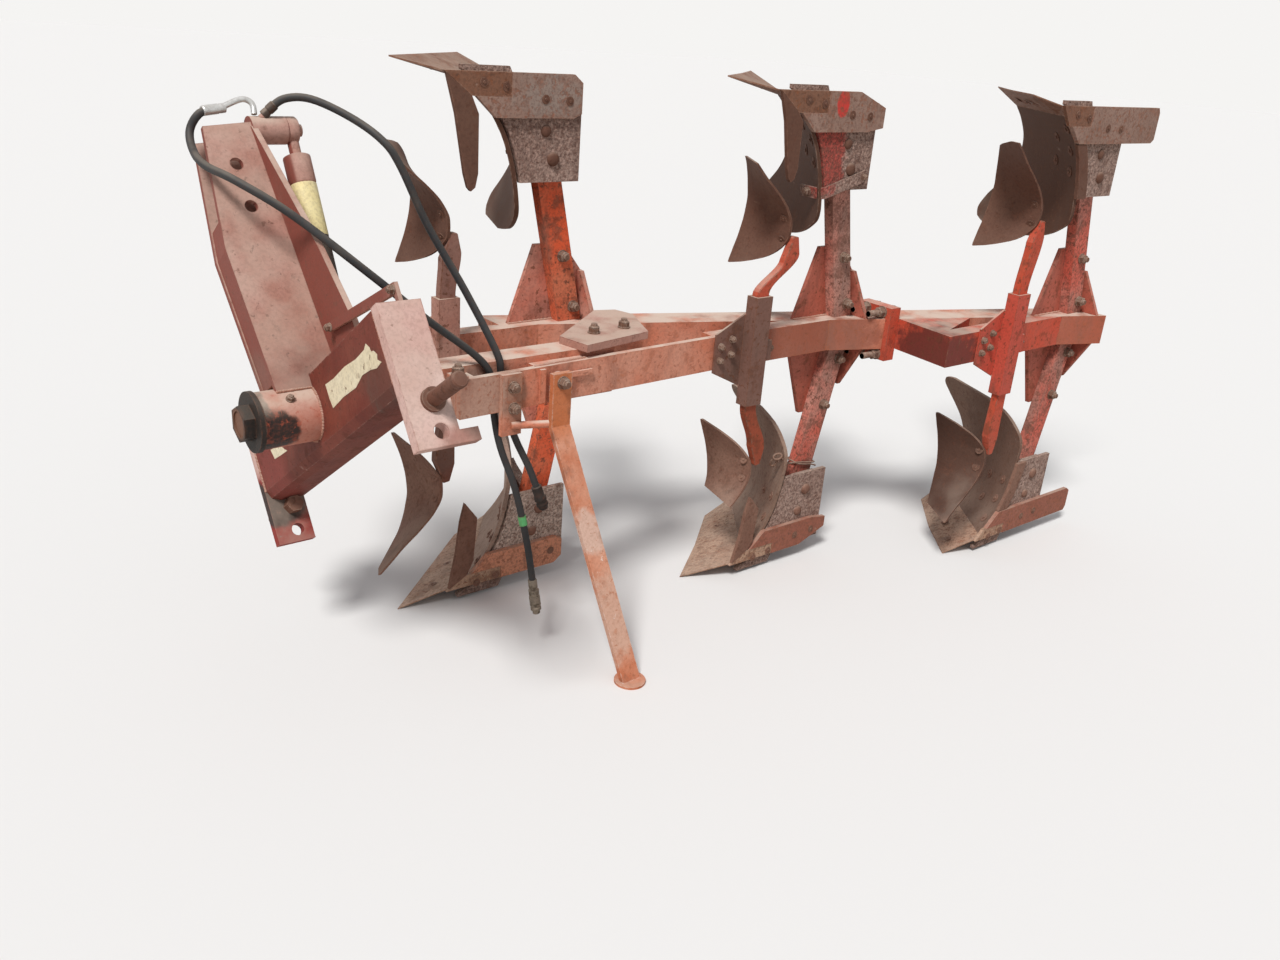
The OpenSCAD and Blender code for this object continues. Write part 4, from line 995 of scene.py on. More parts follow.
def fastener_tree() -> Tree:
    """Bolts at points: a washer, a hexagon with a chamfered top and a threaded stub.

    Returns:
        The node tree.
    """
    sketch, given, result = open_group("fasteners", "GeometryNodeTree", [
        ("Geometry", GEOMETRY, None), ("Head Width", NUMBER, 0.024), ("Head Height", NUMBER, 0.012),
        ("Head Sides", WHOLE, 6), ("Washer Width", NUMBER, 0.034), ("Washer Height", NUMBER, 0.003),
        ("Stub Width", NUMBER, 0.014), ("Stub Length", NUMBER, 0.005), ("Thread Pitch", NUMBER, 0.0025),
        ("Material", MATERIAL, None)], ("Geometry", GEOMETRY))
    washer_top, pitch, sides = given["Washer Height"], given["Thread Pitch"], given["Head Sides"]
    lower, upper = (sketch.times(given["Head Height"], share) for share in (0.8, 0.2))
    corner, chamfered = (sketch.times(given["Head Width"], share) for share in (0.55, 0.44))
    head_top = sketch.math("ADD", washer_top, given["Head Height"])

    def raised(shape: Node, depth: object, base: object) -> Node:
        """Stand a centred shape of that depth on a base height."""
        up = sketch.node("ShaderNodeCombineXYZ", {2: sketch.math("ADD", base, sketch.times(depth, 0.5))})
        return sketch.node("GeometryNodeTransform", {"Geometry": shape, "Translation": up})

    washer = sketch.node("GeometryNodeMeshCylinder", {
        "Vertices": 20, "Radius": sketch.times(given["Washer Width"], 0.5), "Depth": washer_top})
    hexagon = sketch.node("GeometryNodeMeshCylinder", {"Vertices": sides, "Radius": corner, "Depth": lower})
    chamfer = sketch.node("GeometryNodeMeshCone", {
        "Vertices": sides, "Radius Top": chamfered, "Radius Bottom": corner, "Depth": upper})
    stub = sketch.node("GeometryNodeMeshCylinder", {
        "Vertices": 14, "Radius": sketch.times(given["Stub Width"], 0.46), "Depth": given["Stub Length"]})
    turns = sketch.math("FLOOR", sketch.math("DIVIDE", given["Stub Length"], pitch))
    turns = sketch.math("MAXIMUM", turns, 1.0)
    first = sketch.node("ShaderNodeCombineXYZ", {2: sketch.math("ADD", head_top, sketch.times(pitch, 0.5))})
    spread = sketch.node("ShaderNodeCombineXYZ", {2: pitch})
    line = sketch.node("GeometryNodeMeshLine", {"Count": turns, "Start Location": first, "Offset": spread})
    ridge = sketch.node("GeometryNodeMeshCone", {
        "Vertices": 14, "Radius Top": sketch.times(given["Stub Width"], 0.45),
        "Radius Bottom": sketch.times(given["Stub Width"], 0.5), "Depth": sketch.times(pitch, 0.5)})
    thread = sketch.node("GeometryNodeInstanceOnPoints", {"Points": line, "Instance": ridge})
    whole = sketch.node("GeometryNodeJoinGeometry")
    for part in (raised(washer, washer_top, 0.0), raised(hexagon, lower, washer_top),
                 raised(chamfer, upper, sketch.math("ADD", washer_top, lower)),
                 raised(stub, given["Stub Length"], head_top), thread):
        sketch.tree.links.new(part.outputs[0], whole.inputs[0])
    facing, spin, size = (
        sketch.node("GeometryNodeInputNamedAttribute", {"Name": label}, data_type=kind)
        for label, kind in (("facing", "FLOAT_VECTOR"), ("spin", "FLOAT"), ("size", "FLOAT")))
    aligned = sketch.node("FunctionNodeAlignRotationToVector", {"Vector": facing}, axis="Z")
    placed = sketch.node("GeometryNodeInstanceOnPoints", {
        "Points": given["Geometry"], "Instance": whole, "Rotation": twisted(sketch, aligned, spin),
        "Scale": size})
    return finish_tree(sketch, placed, given["Material"], result)


def weld_tree() -> Tree:
    """A weld seam along edges: overlapping flattened beads of slightly changing size.

    Returns:
        The node tree.
    """
    sketch, given, result = open_group("weld_seams", "GeometryNodeTree", [
        ("Geometry", GEOMETRY, None), ("Bead", NUMBER, 0.005), ("Pitch", NUMBER, 0.004), ("Seed", WHOLE, 3),
        ("Material", MATERIAL, None)], ("Geometry", GEOMETRY))
    curve = sketch.node("GeometryNodeMeshToCurve", {0: given["Geometry"]})
    even = sketch.node("GeometryNodeResampleCurve", {"Curve": curve, "Length": given["Pitch"]}, mode="LENGTH")
    bead = sketch.node("GeometryNodeMeshUVSphere", {"Segments": 8, "Rings": 5, "Radius": given["Bead"]})
    flat = sketch.node("GeometryNodeTransform", {"Geometry": bead, "Scale": (1.0, 1.0, 0.7)})
    tangent = sketch.node("GeometryNodeInputTangent")
    along = sketch.node("FunctionNodeAlignRotationToVector", {"Vector": tangent}, axis="Z")
    vary = sketch.node("FunctionNodeRandomValue", {2: 0.8, 3: 1.2, "Seed": given["Seed"]}, data_type="FLOAT")
    placed = sketch.node("GeometryNodeInstanceOnPoints", {
        "Points": even, "Instance": flat, "Rotation": along, "Scale": vary.outputs[1]})
    return finish_tree(sketch, placed, given["Material"], result)


def ruled_board_tree() -> Tree:
    """A board of straight level lines between a near and a far edge, with an even thickness along X.

    Returns:
        The node tree.
    """
    sketch, given, result = open_group("ruled_board", "GeometryNodeTree", [
        ("Geometry", GEOMETRY, None), ("Far Edge", "NodeSocketObject", None), ("Rows", WHOLE, 30),
        ("Steps", WHOLE, 16), ("Thickness", NUMBER, 0.013), ("Material", MATERIAL, None)],
        ("Geometry", GEOMETRY))
    rows, steps = given["Rows"], given["Steps"]
    across = sketch.math("ADD", steps, 1.0)
    grid = sketch.node("GeometryNodeMeshGrid", {"Vertices X": across, "Vertices Y": rows})
    index = sketch.node("GeometryNodeInputIndex").outputs[0]
    row = sketch.math("FLOORED_MODULO", index, rows)
    column = sketch.math("FLOOR", sketch.math("DIVIDE", sketch.math("ADD", index, 0.5), rows))
    share = sketch.math("DIVIDE", column, steps)
    here = sketch.node("GeometryNodeInputPosition").outputs[0]
    far_edge = sketch.node("GeometryNodeObjectInfo", {"Object": given["Far Edge"]}).outputs["Geometry"]
    near, far = (sketch.node("GeometryNodeSampleIndex", {"Geometry": edge, "Value": here, "Index": row},
                             data_type="FLOAT_VECTOR", domain="POINT").outputs[0]
                 for edge in (given["Geometry"], far_edge))
    place = sketch.node("ShaderNodeMix", {0: share, 4: near, 5: far}, data_type="VECTOR").outputs[1]
    face = sketch.node("GeometryNodeSetPosition", {"Geometry": grid.outputs["Mesh"], "Position": place})
    back = sketch.node("ShaderNodeCombineXYZ", {0: sketch.times(given["Thickness"], -1.0)})
    wall = sketch.node("GeometryNodeExtrudeMesh", {"Mesh": face, "Offset": back, "Offset Scale": 1.0,
                                                   "Individual": False}, mode="FACES")
    flipped = sketch.node("GeometryNodeFlipFaces", {0: face})
    both = sketch.node("GeometryNodeJoinGeometry")
    sketch.tree.links.new(wall.outputs["Mesh"], both.inputs[0])
    sketch.tree.links.new(flipped.outputs[0], both.inputs[0])
    closed = sketch.node("GeometryNodeMergeByDistance", {"Geometry": both, "Distance": 1e-5})
    return finish_tree(sketch, closed, given["Material"], result)


def wire_tree() -> Tree:
    """A round wire along edges.

    Returns:
        The node tree.
    """
    sketch, given, result = open_group("round_wire", "GeometryNodeTree", [
        ("Geometry", GEOMETRY, None), ("Radius", NUMBER, 0.002), ("Material", MATERIAL, None)],
        ("Geometry", GEOMETRY))
    curve = sketch.node("GeometryNodeMeshToCurve", {0: given["Geometry"]})
    circle = sketch.node("GeometryNodeCurvePrimitiveCircle", {"Resolution": 10, "Radius": given["Radius"]})
    body = sketch.node("GeometryNodeCurveToMesh", {"Curve": curve, "Profile Curve": circle.outputs[0],
                                                   "Fill Caps": True})
    return finish_tree(sketch, body, given["Material"], result)


def chain_tree() -> Tree:
    """Chain links along edges, each turned a quarter from the last.

    Returns:
        The node tree.
    """
    sketch, given, result = open_group("chain_links", "GeometryNodeTree", [
        ("Geometry", GEOMETRY, None), ("Pitch", NUMBER, 0.022), ("Wire", NUMBER, 0.0032),
        ("Material", MATERIAL, None)], ("Geometry", GEOMETRY))
    curve = sketch.node("GeometryNodeMeshToCurve", {0: given["Geometry"]})
    even = sketch.node("GeometryNodeResampleCurve", {"Curve": curve, "Length": given["Pitch"]}, mode="LENGTH")
    loop = sketch.node("GeometryNodeCurvePrimitiveCircle", {
        "Resolution": 20, "Radius": sketch.times(given["Pitch"], 0.62)})
    oval = sketch.node("GeometryNodeTransform", {
        "Geometry": loop.outputs[0], "Rotation": (math.pi / 2, 0.0, 0.0), "Scale": (0.62, 1.0, 1.0)})
    circle = sketch.node("GeometryNodeCurvePrimitiveCircle", {"Resolution": 8, "Radius": given["Wire"]})
    link = sketch.node("GeometryNodeCurveToMesh", {"Curve": oval, "Profile Curve": circle.outputs[0]})
    tangent = sketch.node("GeometryNodeInputTangent")
    along = sketch.node("FunctionNodeAlignRotationToVector", {"Vector": tangent}, axis="Z")
    quarter = sketch.times(sketch.node("GeometryNodeInputIndex").outputs[0], math.pi / 2)
    placed = sketch.node("GeometryNodeInstanceOnPoints", {
        "Points": even, "Instance": link, "Rotation": twisted(sketch, along, quarter)})
    return finish_tree(sketch, placed, given["Material"], result)


class FastenerKind(Enum):
    """Sizes of a fastener: head width and height, sides, washer, stub width and length, in millimetres."""

    LARGE = (24, 13, 6, 30, 3, 16, 7)
    SMALL = (18, 9, 6, 23, 2.5, 11, 4)
    FLANGE_NUT = (27, 17, 6, 33, 3.5, 18, 40)
    FLUSH = (21, 1.2, 20, 22, 0.6, 8, 0.6)


@dataclass
class Fastener:
    """One fastener: its place, the way it faces and its size against its kind's."""

    place: Vector
    facing: Vector
    size: float


class FastenerSet:
    """Collects fasteners and makes one mesh for each body and kind."""

    def __init__(self, palette: Palette) -> None:
        """Keep the palette and build the tree once.

        Args:
            palette: The finishes' materials.
        """
        self.palette = palette
        self.tree = fastener_tree()
        self.held: dict[tuple[Body, FastenerKind], list[Fastener]] = {}

    def add(self, body: Body, kind: FastenerKind, place: Vector, facing: Sequence[float],
            size: float = 1.0) -> None:
        """Add one fastener.

        Args:
            body: The body it moves with.
            kind: Its sizes.
            place: Its seat, in metres.
            facing: The way that its head points.
            size: Its size against its kind's.
        """
        fastener = Fastener(place, Vector(facing).normalized(), size)
        self.held.setdefault((body, kind), []).append(fastener)

    def build(self) -> None:
        """Make all meshes."""
        for (body, kind), items in self.held.items():
            name = f"{body.name.lower()}_{kind.name.lower()}_bolts"
            source = polyline(name + "_points", [[item.place] for item in items])
            attributes = source.data.attributes
            facing = [number for item in items for number in item.facing]
            attributes.new("facing", "FLOAT_VECTOR", "POINT").data.foreach_set("vector", facing)
            spins = [0.7 * i % 1.05 for i in range(len(items))]
            attributes.new("spin", "FLOAT", "POINT").data.foreach_set("value", spins)
            sizes = [item.size for item in items]
            attributes.new("size", "FLOAT", "POINT").data.foreach_set("value", sizes)
            width, height, sides, washer, washer_height, stub, stub_length = kind.value
            material = self.palette["skim_steel" if kind is FastenerKind.FLUSH else "bolt_steel"]
            made = run_tree(source, self.tree, {
                "Head Width": width / 1000, "Head Height": height / 1000, "Head Sides": sides,
                "Washer Width": washer / 1000, "Washer Height": washer_height / 1000,
                "Stub Width": stub / 1000, "Stub Length": stub_length / 1000, "Material": material}, name)
            settle(made, body, "dark_steel")


def eased(table: Sequence[Sequence[float]], z: float) -> list[float]:
    """A table's numbers at a height, along smooth curves through its rows that never overshoot.

    Args:
        table: Rows of numbers, the first of each its height, in rising order.
        z: The height.

    Returns:
        One number for each column.
    """
    heights = [row[0] for row in table]
    i = int(np.clip(np.searchsorted(heights, z, side="right") - 1, 0, len(table) - 2))
    gap = heights[i + 1] - heights[i]
    t = (z - heights[i]) / gap
    result = []
    for column in zip(*table):
        steps = np.diff(column) / np.diff(heights)
        turns = [0.0 if a * b <= 0 else 2 * a * b / (a + b) for a, b in zip(steps, steps[1:])]
        slopes = [steps[0], *turns, steps[-1]]
        start = (2 * t ** 3 - 3 * t ** 2 + 1) * column[i] + (t ** 3 - 2 * t ** 2 + t) * gap * slopes[i]
        end = (3 * t ** 2 - 2 * t ** 3) * column[i + 1] + (t ** 3 - t ** 2) * gap * slopes[i + 1]
        result.append(float(start + end))
    return result


def levels(table: Sequence[Sequence[float]], step: float) -> np.ndarray:
    """Even heights from a table's first row to its last, a given step apart or a little more."""
    low, high = table[0][0], table[-1][0]
    return np.linspace(low, high, int((high - low) / step) + 1)


# Sub-assemblies

# A mouldboard's height, front, left end, angle to the wall in degrees and right end
BOARD = (
    (50, -170, 38, 52, -285), (85, -204, 38, 51.5, -290), (122, -233, 38, 51.5, -295),
    (165, -257, 38, 52.5, -300), (210, -273, 38, 55, -306), (255, -284, 38, 57.5, -330),
    (295, -290, 38, 60, -368), (330, -293, 30, 62.5, -395), (362, -293, -10, 65, -402),
    (388, -291, -70, 66.5, -385), (402, -288, -150, 67.5, -335))
# A skim blade's height, then X and Y of its left end and of its right end
SKIM = (
    (138, 73, 46, 56, 12), (160, 48, 46, -32, -76), (195, 10, 46, -60, -92), (232, -36, 46, -75, -100),
    (272, -75, 46, -83, -104), (310, -94, 46, -81, -107), (345, -96, 42, -75, -110),
    (372, -86, 28, -68, -112), (396, -73, 0, -60, -114), (414, -61, -42, -53, -114),
    (426, -51, -80, -48, -114), (432, -47, -108, -46, -113))


@dataclass(frozen=True)
class SkimSetting:
    """How one skim is set: forward and up in millimetres, and the first row of its table that it has."""

    step: int
    lift: int
    first: int


@dataclass
class Boards:
    """Mouldboards, skim blades and their stems: six of each, the blades as ruled level lines."""

    palette: Palette
    bolts: FastenerSet
    board_thickness: float = 13.0
    board_steps: int = 18
    board_bolts: tuple[Place, ...] = ((84, 8), (140, 8), (196, 4), (112, -62), (176, -76))
    skim_thickness: float = 8.0
    skim_steps: int = 12
    skim_bolts: tuple[Place, ...] = ((300, 26), (352, 24))
    row_step: float = 7.0
    stem_width: float = 22.0
    stem_front: float = -98.0
    stem_rear: float = -138.0
    stem_gap: float = 0.6
    stem_start: float = 650.0
    stem_turn: float = 508.0
    stem_rests: tuple[float, ...] = (398, 388, 378, 366, 354, 345)
    names: tuple[str, str, str] = ("front", "middle", "rear")
    settings: tuple[tuple[SkimSetting, SkimSetting], ...] = (
        (SkimSetting(0, 0, 0), SkimSetting(-18, 25, 0)), (SkimSetting(-52, -8, 3), SkimSetting(-95, 28, 1)),
        (SkimSetting(-5, -15, 1), SkimSetting(-28, -25, 0)))

    @staticmethod
    def board_x(z: float, y: float) -> float:
        """How far forward the mouldboard's face is at a height and distance from the wall."""
        row = eased(BOARD, z)
        return row[1] - (WALL_Y - y) / math.tan(math.radians(row[3]))

    @staticmethod
    def skim_x(z: float, y: float) -> float:
        """How far forward a skim blade's face is, before it is set."""
        row = eased(SKIM, z)
        return row[1] + (row[3] - row[1]) * (row[2] - y) / (row[2] - row[4])

    def board_edges(self) -> tuple[list[Point], list[Point]]:
        """Both edges of a mouldboard.

        Returns:
            The near edge's points and the far edge's, row by row.
        """
        near, far = [], []
        for z in levels(BOARD, self.row_step):
            row = eased(BOARD, z)
            near.append((self.board_x(z, row[2]), row[2], float(z)))
            far.append((self.board_x(z, row[4]), row[4], float(z)))
        return near, far

    def skim_edges(self, setting: SkimSetting) -> tuple[list[Point], list[Point]]:
        """Both edges of a skim blade.

        Args:
            setting: How the skim is set.

        Returns:
            The near edge's points and the far edge's, row by row.
        """
        lines = [eased(SKIM, z) for z in levels(SKIM[setting.first:], self.row_step)]
        return ([(row[1] + setting.step, row[2], row[0] + setting.lift) for row in lines],
                [(row[3] + setting.step, row[4], row[0] + setting.lift) for row in lines])

    def ruled(self, tree: Tree, name: str, edges: Sequence[Sequence[Vector]], thickness: float, steps: int,
              finish: str) -> Piece:
        """One board from its two edges.

        Args:
            tree: The tree that makes ruled boards.
            name: The board's name.
            edges: Its near edge and its far edge.
            thickness: Its thickness in millimetres.
            steps: How many steps it has across.
            finish: The name of its finish.

        Returns:
            The board.
        """
        source, other = (polyline(name + end, [edge]) for end, edge in zip(("_near", "_far"), edges))
        made = run_tree(source, tree, {"Far Edge": other, "Rows": len(edges[0]), "Steps": steps,
                                       "Thickness": thickness / 1000, "Material": self.palette[finish]}, name)
        bpy.data.objects.remove(other)
        work = bmesh.new()
        work.from_mesh(made.data)
        bmesh.ops.recalc_face_normals(work, faces=work.faces)
        work.to_mesh(made.data)
        work.free()
        return shade(made, 35)

    def stem(self, body: PloughBody) -> Piece:
        """A skim's stem: straight in its sleeve, then set to end behind the blade's upper half.

        Args:
            body: The plough body.

        Returns:
            The stem.
        """
        setting = self.settings[body.k][body.upper]
        lift = setting.lift
        right = BAR_LEFT[body.k] + 13.3
        high, low = self.stem_rests[0], self.stem_rests[-1]

        def behind(z: float) -> float:
            """The blade's rear face at a height, over the stem's width."""
            face = min(self.skim_x(z, right), self.skim_x(z, right + self.stem_width))
            return setting.step + face - self.skim_thickness - self.stem_gap

        def swung(share: float, first: float, last: float) -> float:
            """A soft change from the first value to the last."""
            return first + (last - first) * share * share * (3 - 2 * share)

        def place(x: float, z: float, depth: float) -> Vector:
            """A place of the stem's outline, at a depth across it."""
            return body.spot(x, right + depth, z)

        drop = lift + high - self.stem_turn
        shares = np.linspace(0.0, 1.0, 12)
        front = [(swung(t, self.stem_front, behind(high)), self.stem_turn + drop * t) for t in shares]
        front += [(behind(z), lift + z) for z in self.stem_rests[1:]]
        end = [(behind(low) - 3, lift + low - 5), (behind(low) - 20, lift + low - 3)]
        rear_end = min(self.stem_rear, behind(low) - 30)
        rear = [(swung(t, self.stem_rear, rear_end), self.stem_turn + (drop - 12) * t) for t in shares]
        outline = [(self.stem_front, self.stem_start), *front, *end, *reversed(rear),
                   (self.stem_rear, self.stem_start)]
        bar = plate(f"stem_{body.label}", outline, place, self.stem_width, self.palette["stem_paint"])
        return soften(bar, 0.0015)

    def build(self) -> None:
        """Make every board, blade and stem, and their flush bolts."""
        stems = join("skim_stem_bars", [self.stem(body) for pair in PAIRS for body in pair])
        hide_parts("skim_stems")
        settle(stems, Body.FRAME, "vivid_red")
        tree = ruled_board_tree()
        for name, pair in zip(self.names, PAIRS):
            boards, blades = [], []
            for body in pair:
                edges = [[body.spot(*p) for p in edge] for edge in self.board_edges()]
                boards.append(self.ruled(tree, f"{name}_board_{int(body.upper)}", edges, self.board_thickness,
                                         self.board_steps, "brown_steel"))
            for body in pair:
                setting = self.settings[body.k][body.upper]
                edges = [[body.spot(*p) for p in edge] for edge in self.skim_edges(setting)]
                blades.append(self.ruled(tree, f"{name}_blade_{int(body.upper)}", edges, self.skim_thickness,
                                         self.skim_steps, "skim_steel"))
            piece = join(f"{name}_mouldboard_faces", boards)
            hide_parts(f"{name}_mouldboards")
            settle(piece, Body.FRAME, "board_steel")
            piece = join(f"{name}_skim_faces", blades)
            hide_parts(f"{name}_skims")
            settle(piece, Body.FRAME, "board_steel")
            for body in pair:
                self.bolt_faces(body)

    def bolt_faces(self, body: PloughBody) -> None:
        """Flush bolts on one mouldboard and on its skim blade.

        Args:
            body: The plough body.
        """
        for z, y in self.board_bolts:
            slope = 1 / math.tan(math.radians(eased(BOARD, z)[3]))
            rise = (self.board_x(z + 5, y) - self.board_x(z - 5, y)) / 10
            self.bolts.add(Body.FRAME, FastenerKind.FLUSH, body.spot(self.board_x(z, y) + 0.1, y, z),
                           (1.0, -slope, -rise * body.flip), 1.2)
        setting = self.settings[body.k][body.upper]
        for z, y in self.skim_bolts:
            x, slope = self.skim_x(z, y), (self.skim_x(z, y + 5) - self.skim_x(z, y - 5)) / 10
            place = body.spot(x + setting.step + 0.1, y, z + setting.lift)
            self.bolts.add(Body.FRAME, FastenerKind.FLUSH, place, (1.0, -slope, 0.5 * body.flip))


@dataclass
class Fixings:
    """Bolts, nuts and domed bolt heads of the frame, the plough bodies, the headstock and the stand."""

    palette: Palette
    bolts: FastenerSet
    leg_bolts: tuple[Place, ...] = ((-458, 447), (-496, 577))
    leg_faces: tuple[Place, ...] = ((3, 1), (-39, -1))
    domes: tuple[Point, ...] = ((-373, 147, 14.0), (-395, 210, 16.5))
    wall_bolts: tuple[Point, ...] = ((-200, 44, 10), (-258, 52, 10), (-361, 77, 12), (-428, 80, 12))
    share_bolts: tuple[Place, ...] = ((0.42, -34), (0.5, -110), (0.5, -185))
    share_edge: Place = (333.0, 299.0)
    share_angle: float = 52.0
    share_top: float = 50.0
    sleeve_bolts: tuple[Place, ...] = ((-52, 650), (-16, 674), (-52, 690), (-16, 638))
    sleeve_half: float = 27.3
    sleeve_lug: float = 22.0
    flange_faces: tuple[float, float] = (-586.0, -626.0)
    flange_reach: float = 60.0
    flange_sides: tuple[float, float] = (22.0, 78.0)
    bridge_bolts: tuple[Place, ...] = ((-402, 224), (-498, 215))
    bridge_top: float = 76.0
    bracket_bolts: tuple[Place, ...] = ((-117, 670), (-119, 622))
    bracket_face: float = 12.4
    lug_bolt: Place = (2, 296)
    lug_top: float = 8.0
    strap_bolts: tuple[Place, ...] = ((97, 139), (393, 97))
    strap_face: float = 1.8
    hub_nipple: Point = (101, 52.2, 20.1)
    stand_pivot: Place = (-243, 664)
    stand_face: float = 24.0

    def build(self) -> None:
        """Add every fastener."""
        for pair in PAIRS:
            for body in pair:
                self.dress_body(body)
            self.dress_sleeve(pair[0])
        domes = [self.dome(body, *dome) for pair in PAIRS for body in pair for dome in self.domes]
        settle(join("frog_dome_bolts", domes), Body.FRAME, "plate_rust")
        self.dress_flanges()
        add, large, small = self.bolts.add, FastenerKind.LARGE, FastenerKind.SMALL
        for x, y in self.bridge_bolts:
            add(Body.FRAME, large, spot(x, y, AXIS_Z + self.bridge_top), (0, 0, 1))
        for x, z in self.bracket_bolts:
            add(Body.FRAME, large, spot(x, bar_side(-90) + self.bracket_face, z), (0, 1, 0), 0.9)
        add(Body.FRAME, large, spot(*self.lug_bolt, AXIS_Z + BAR_HALF + self.lug_top), (0, 0, 1))
        for along, up in self.strap_bolts:
            add(Body.HEADSTOCK, small, head_spot(self.strap_face, along, up - 1), (1, 0, 0), 0.8)
        add(Body.HEADSTOCK, small, head_spot(*self.hub_nipple), head_way(0, 0.933, 0.359), 0.75)
        x, z = self.stand_pivot
        add(Body.STAND, large, spot(x, bar_side(x) + self.stand_face, z), (0, 1, 0))

    def dress_body(self, body: PloughBody) -> None:
        """Bolts of one plough body's leg, frog, landside and share.

        Args:
            body: The plough body.
        """
        for x, z in self.leg_bolts:
            for y, way in self.leg_faces:
                self.bolts.add(Body.FRAME, FastenerKind.LARGE, body.spot(x, y, z), (0, way, 0))
        for x, z, out in self.wall_bolts:
            self.bolts.add(Body.FRAME, FastenerKind.FLUSH, body.spot(x, WALL_Y + out, z), (0, 1, 0), 0.9)
        for share, y in self.share_bolts:
            self.share_bolt(body, share, y)

    def dress_sleeve(self, body: PloughBody) -> None:
        """Bolts of one skim sleeve: four through its plate, and the clamp bolt on its lug.

        Args:
            body: The lower plough body of the pair.
        """
        left = BAR_LEFT[body.k] + 6
        for x, z in self.sleeve_bolts:
            self.bolts.add(Body.FRAME, FastenerKind.SMALL, body.spot(x, left, z), (0, 1, 0), 0.85)
        lug = body.spot(SLEEVE_X - self.sleeve_half - self.sleeve_lug, left + 15, AXIS_Z)
        self.bolts.add(Body.FRAME, FastenerKind.LARGE, lug, (-1, 0, 0), 0.85)

    def dome(self, body: PloughBody, x: float, z: float, radius: float) -> Piece:
        """One domed bolt head on a frog's wall side.

        Args:
            body: The plough body.
            x: Its place ahead of the share point.
            z: Its height.
            radius: Its radius in millimetres.

        Returns:
            The bolt head.
        """
        crown = [(radius * 0.55 * math.sin(a), radius * math.cos(a)) for a in np.linspace(0.0, 1.45, 8)]
        return turned(f"dome_{body.label}_{int(z)}", [(-1.0, radius), *crown], body.spot(x, WALL_Y, z),
                      Vector((0, 1, 0)), self.palette["skim_steel"], 20)

    def share_bolt(self, body: PloughBody, share: float, y: float) -> None:
        """One flush bolt on a share's sloping face, between its cutting edge and its joint.

        Args:
            body: The plough body.
            share: How far up the face it is, from 0 to 1.
            y: Its place left of the share point.
        """
        forward, left = self.share_edge
        edge = Vector((y * forward / left, y, 3.0))
        joint_x = BOARD[0][1] - (WALL_Y - y) / math.tan(math.radians(self.share_angle))
        joint = Vector((joint_x, y, self.share_top))
        facing = (joint - edge).cross(Vector((forward, left, 0)))
        facing = -facing if facing.z < 0 else facing
        facing.z *= body.flip
        self.bolts.add(Body.FRAME, FastenerKind.FLUSH, body.spot(*edge.lerp(joint, share)), facing)

    def dress_flanges(self) -> None:
        """Four through bolts of the flange joint, with long threaded ends to the front."""
        near = -139 + 606 * FURROW / SPACING
        front, rear = self.flange_faces
        for side in self.flange_sides:
            for z in (AXIS_Z - self.flange_reach, AXIS_Z + self.flange_reach):
                for x, kind, way in ((front, FastenerKind.FLANGE_NUT, 1), (rear, FastenerKind.LARGE, -1)):
                    self.bolts.add(Body.FRAME, kind, LOWER[1].spot(x, near - side, z), (way, 0, 0))


@dataclass
class Seams:
    """Weld seams on the frame and the headstock."""

    palette: Palette
    bead: float = 0.0032
    seed: int = 5
    leg_y: float = -26.0
    leg_seams: tuple[tuple[Place, Place], ...] = (((-325, 612), (-538, 612)), ((-539, 610), (-539, 495)))
    sleeve_plate: float = 94.0
    sleeve_seam: Place = (-92, -144)
    box_seam: tuple[Place, Place] = ((-190, 297), (-330, 290))
    mast_reach: float = 387.0
    crossbar_x: float = 47.5
    hub_radius: float = 56.5
    hub_side: float = 42.0
    strap_reach: tuple[float, float] = (44.0, 176.0)

    def frame_runs(self) -> list[list[Vector]]:
        """The seams of the legs' gussets, the sleeves' plates and the turnover box.

        Returns:
            The points of each seam.
        """
        runs = []
        for pair in PAIRS:
            for body in pair:
                for ends in self.leg_seams:
                    runs.append([body.spot(x, self.leg_y, z) for x, z in ends])
            lower = pair[0]
            for z in (AXIS_Z + self.sleeve_plate, AXIS_Z - self.sleeve_plate):
                runs.append([lower.spot(x, BAR_LEFT[lower.k] + 6.3, z) for x in self.sleeve_seam])
        runs.append([spot(x, y, AXIS_Z + BAR_HALF + 0.5) for x, y in self.box_seam])
        return runs

    def head_runs(self) -> list[list[Vector]]:
        """The seams of the crossbar, the hub tube and the mast's foot.

        Returns:
            The points of each seam.
        """
        ends = (self.mast_reach, -self.mast_reach)
        runs = [[head_spot(self.crossbar_x, along, up) for up in (-68, 66)] for along in ends]
        runs += [[head_spot(x, along, 66.5) for x in (-34, 47)] for along in ends]
        runs.append([head_spot(self.crossbar_x, self.hub_radius * math.sin(a), self.hub_radius * math.cos(a))
                     for a in np.linspace(-3.0, 3.0, 40)])
        runs += [[head_spot(x, along, 40) for x in (50, 118)] for along in (self.hub_side, -self.hub_side)]
        near, far = self.strap_reach
        runs += [[head_spot(-10, along, 67.5) for along in pair] for pair in ((-far, -near), (near, far))]
        return runs

    def build(self) -> None:
        """Lay every seam."""
        tree = weld_tree()
        for body, runs, slot in ((Body.FRAME, self.frame_runs(), "worn_red"),
                                 (Body.HEADSTOCK, self.head_runs(), "faded_red")):
            label = body.name.lower()
            made = run_tree(polyline(f"{label}_seam_lines", runs), tree, {
                "Bead": self.bead, "Pitch": self.bead, "Seed": self.seed,
                "Material": self.palette["weld_metal"]}, f"{label}_welds")
            made.data.shade_smooth()
            settle(made, body, slot)


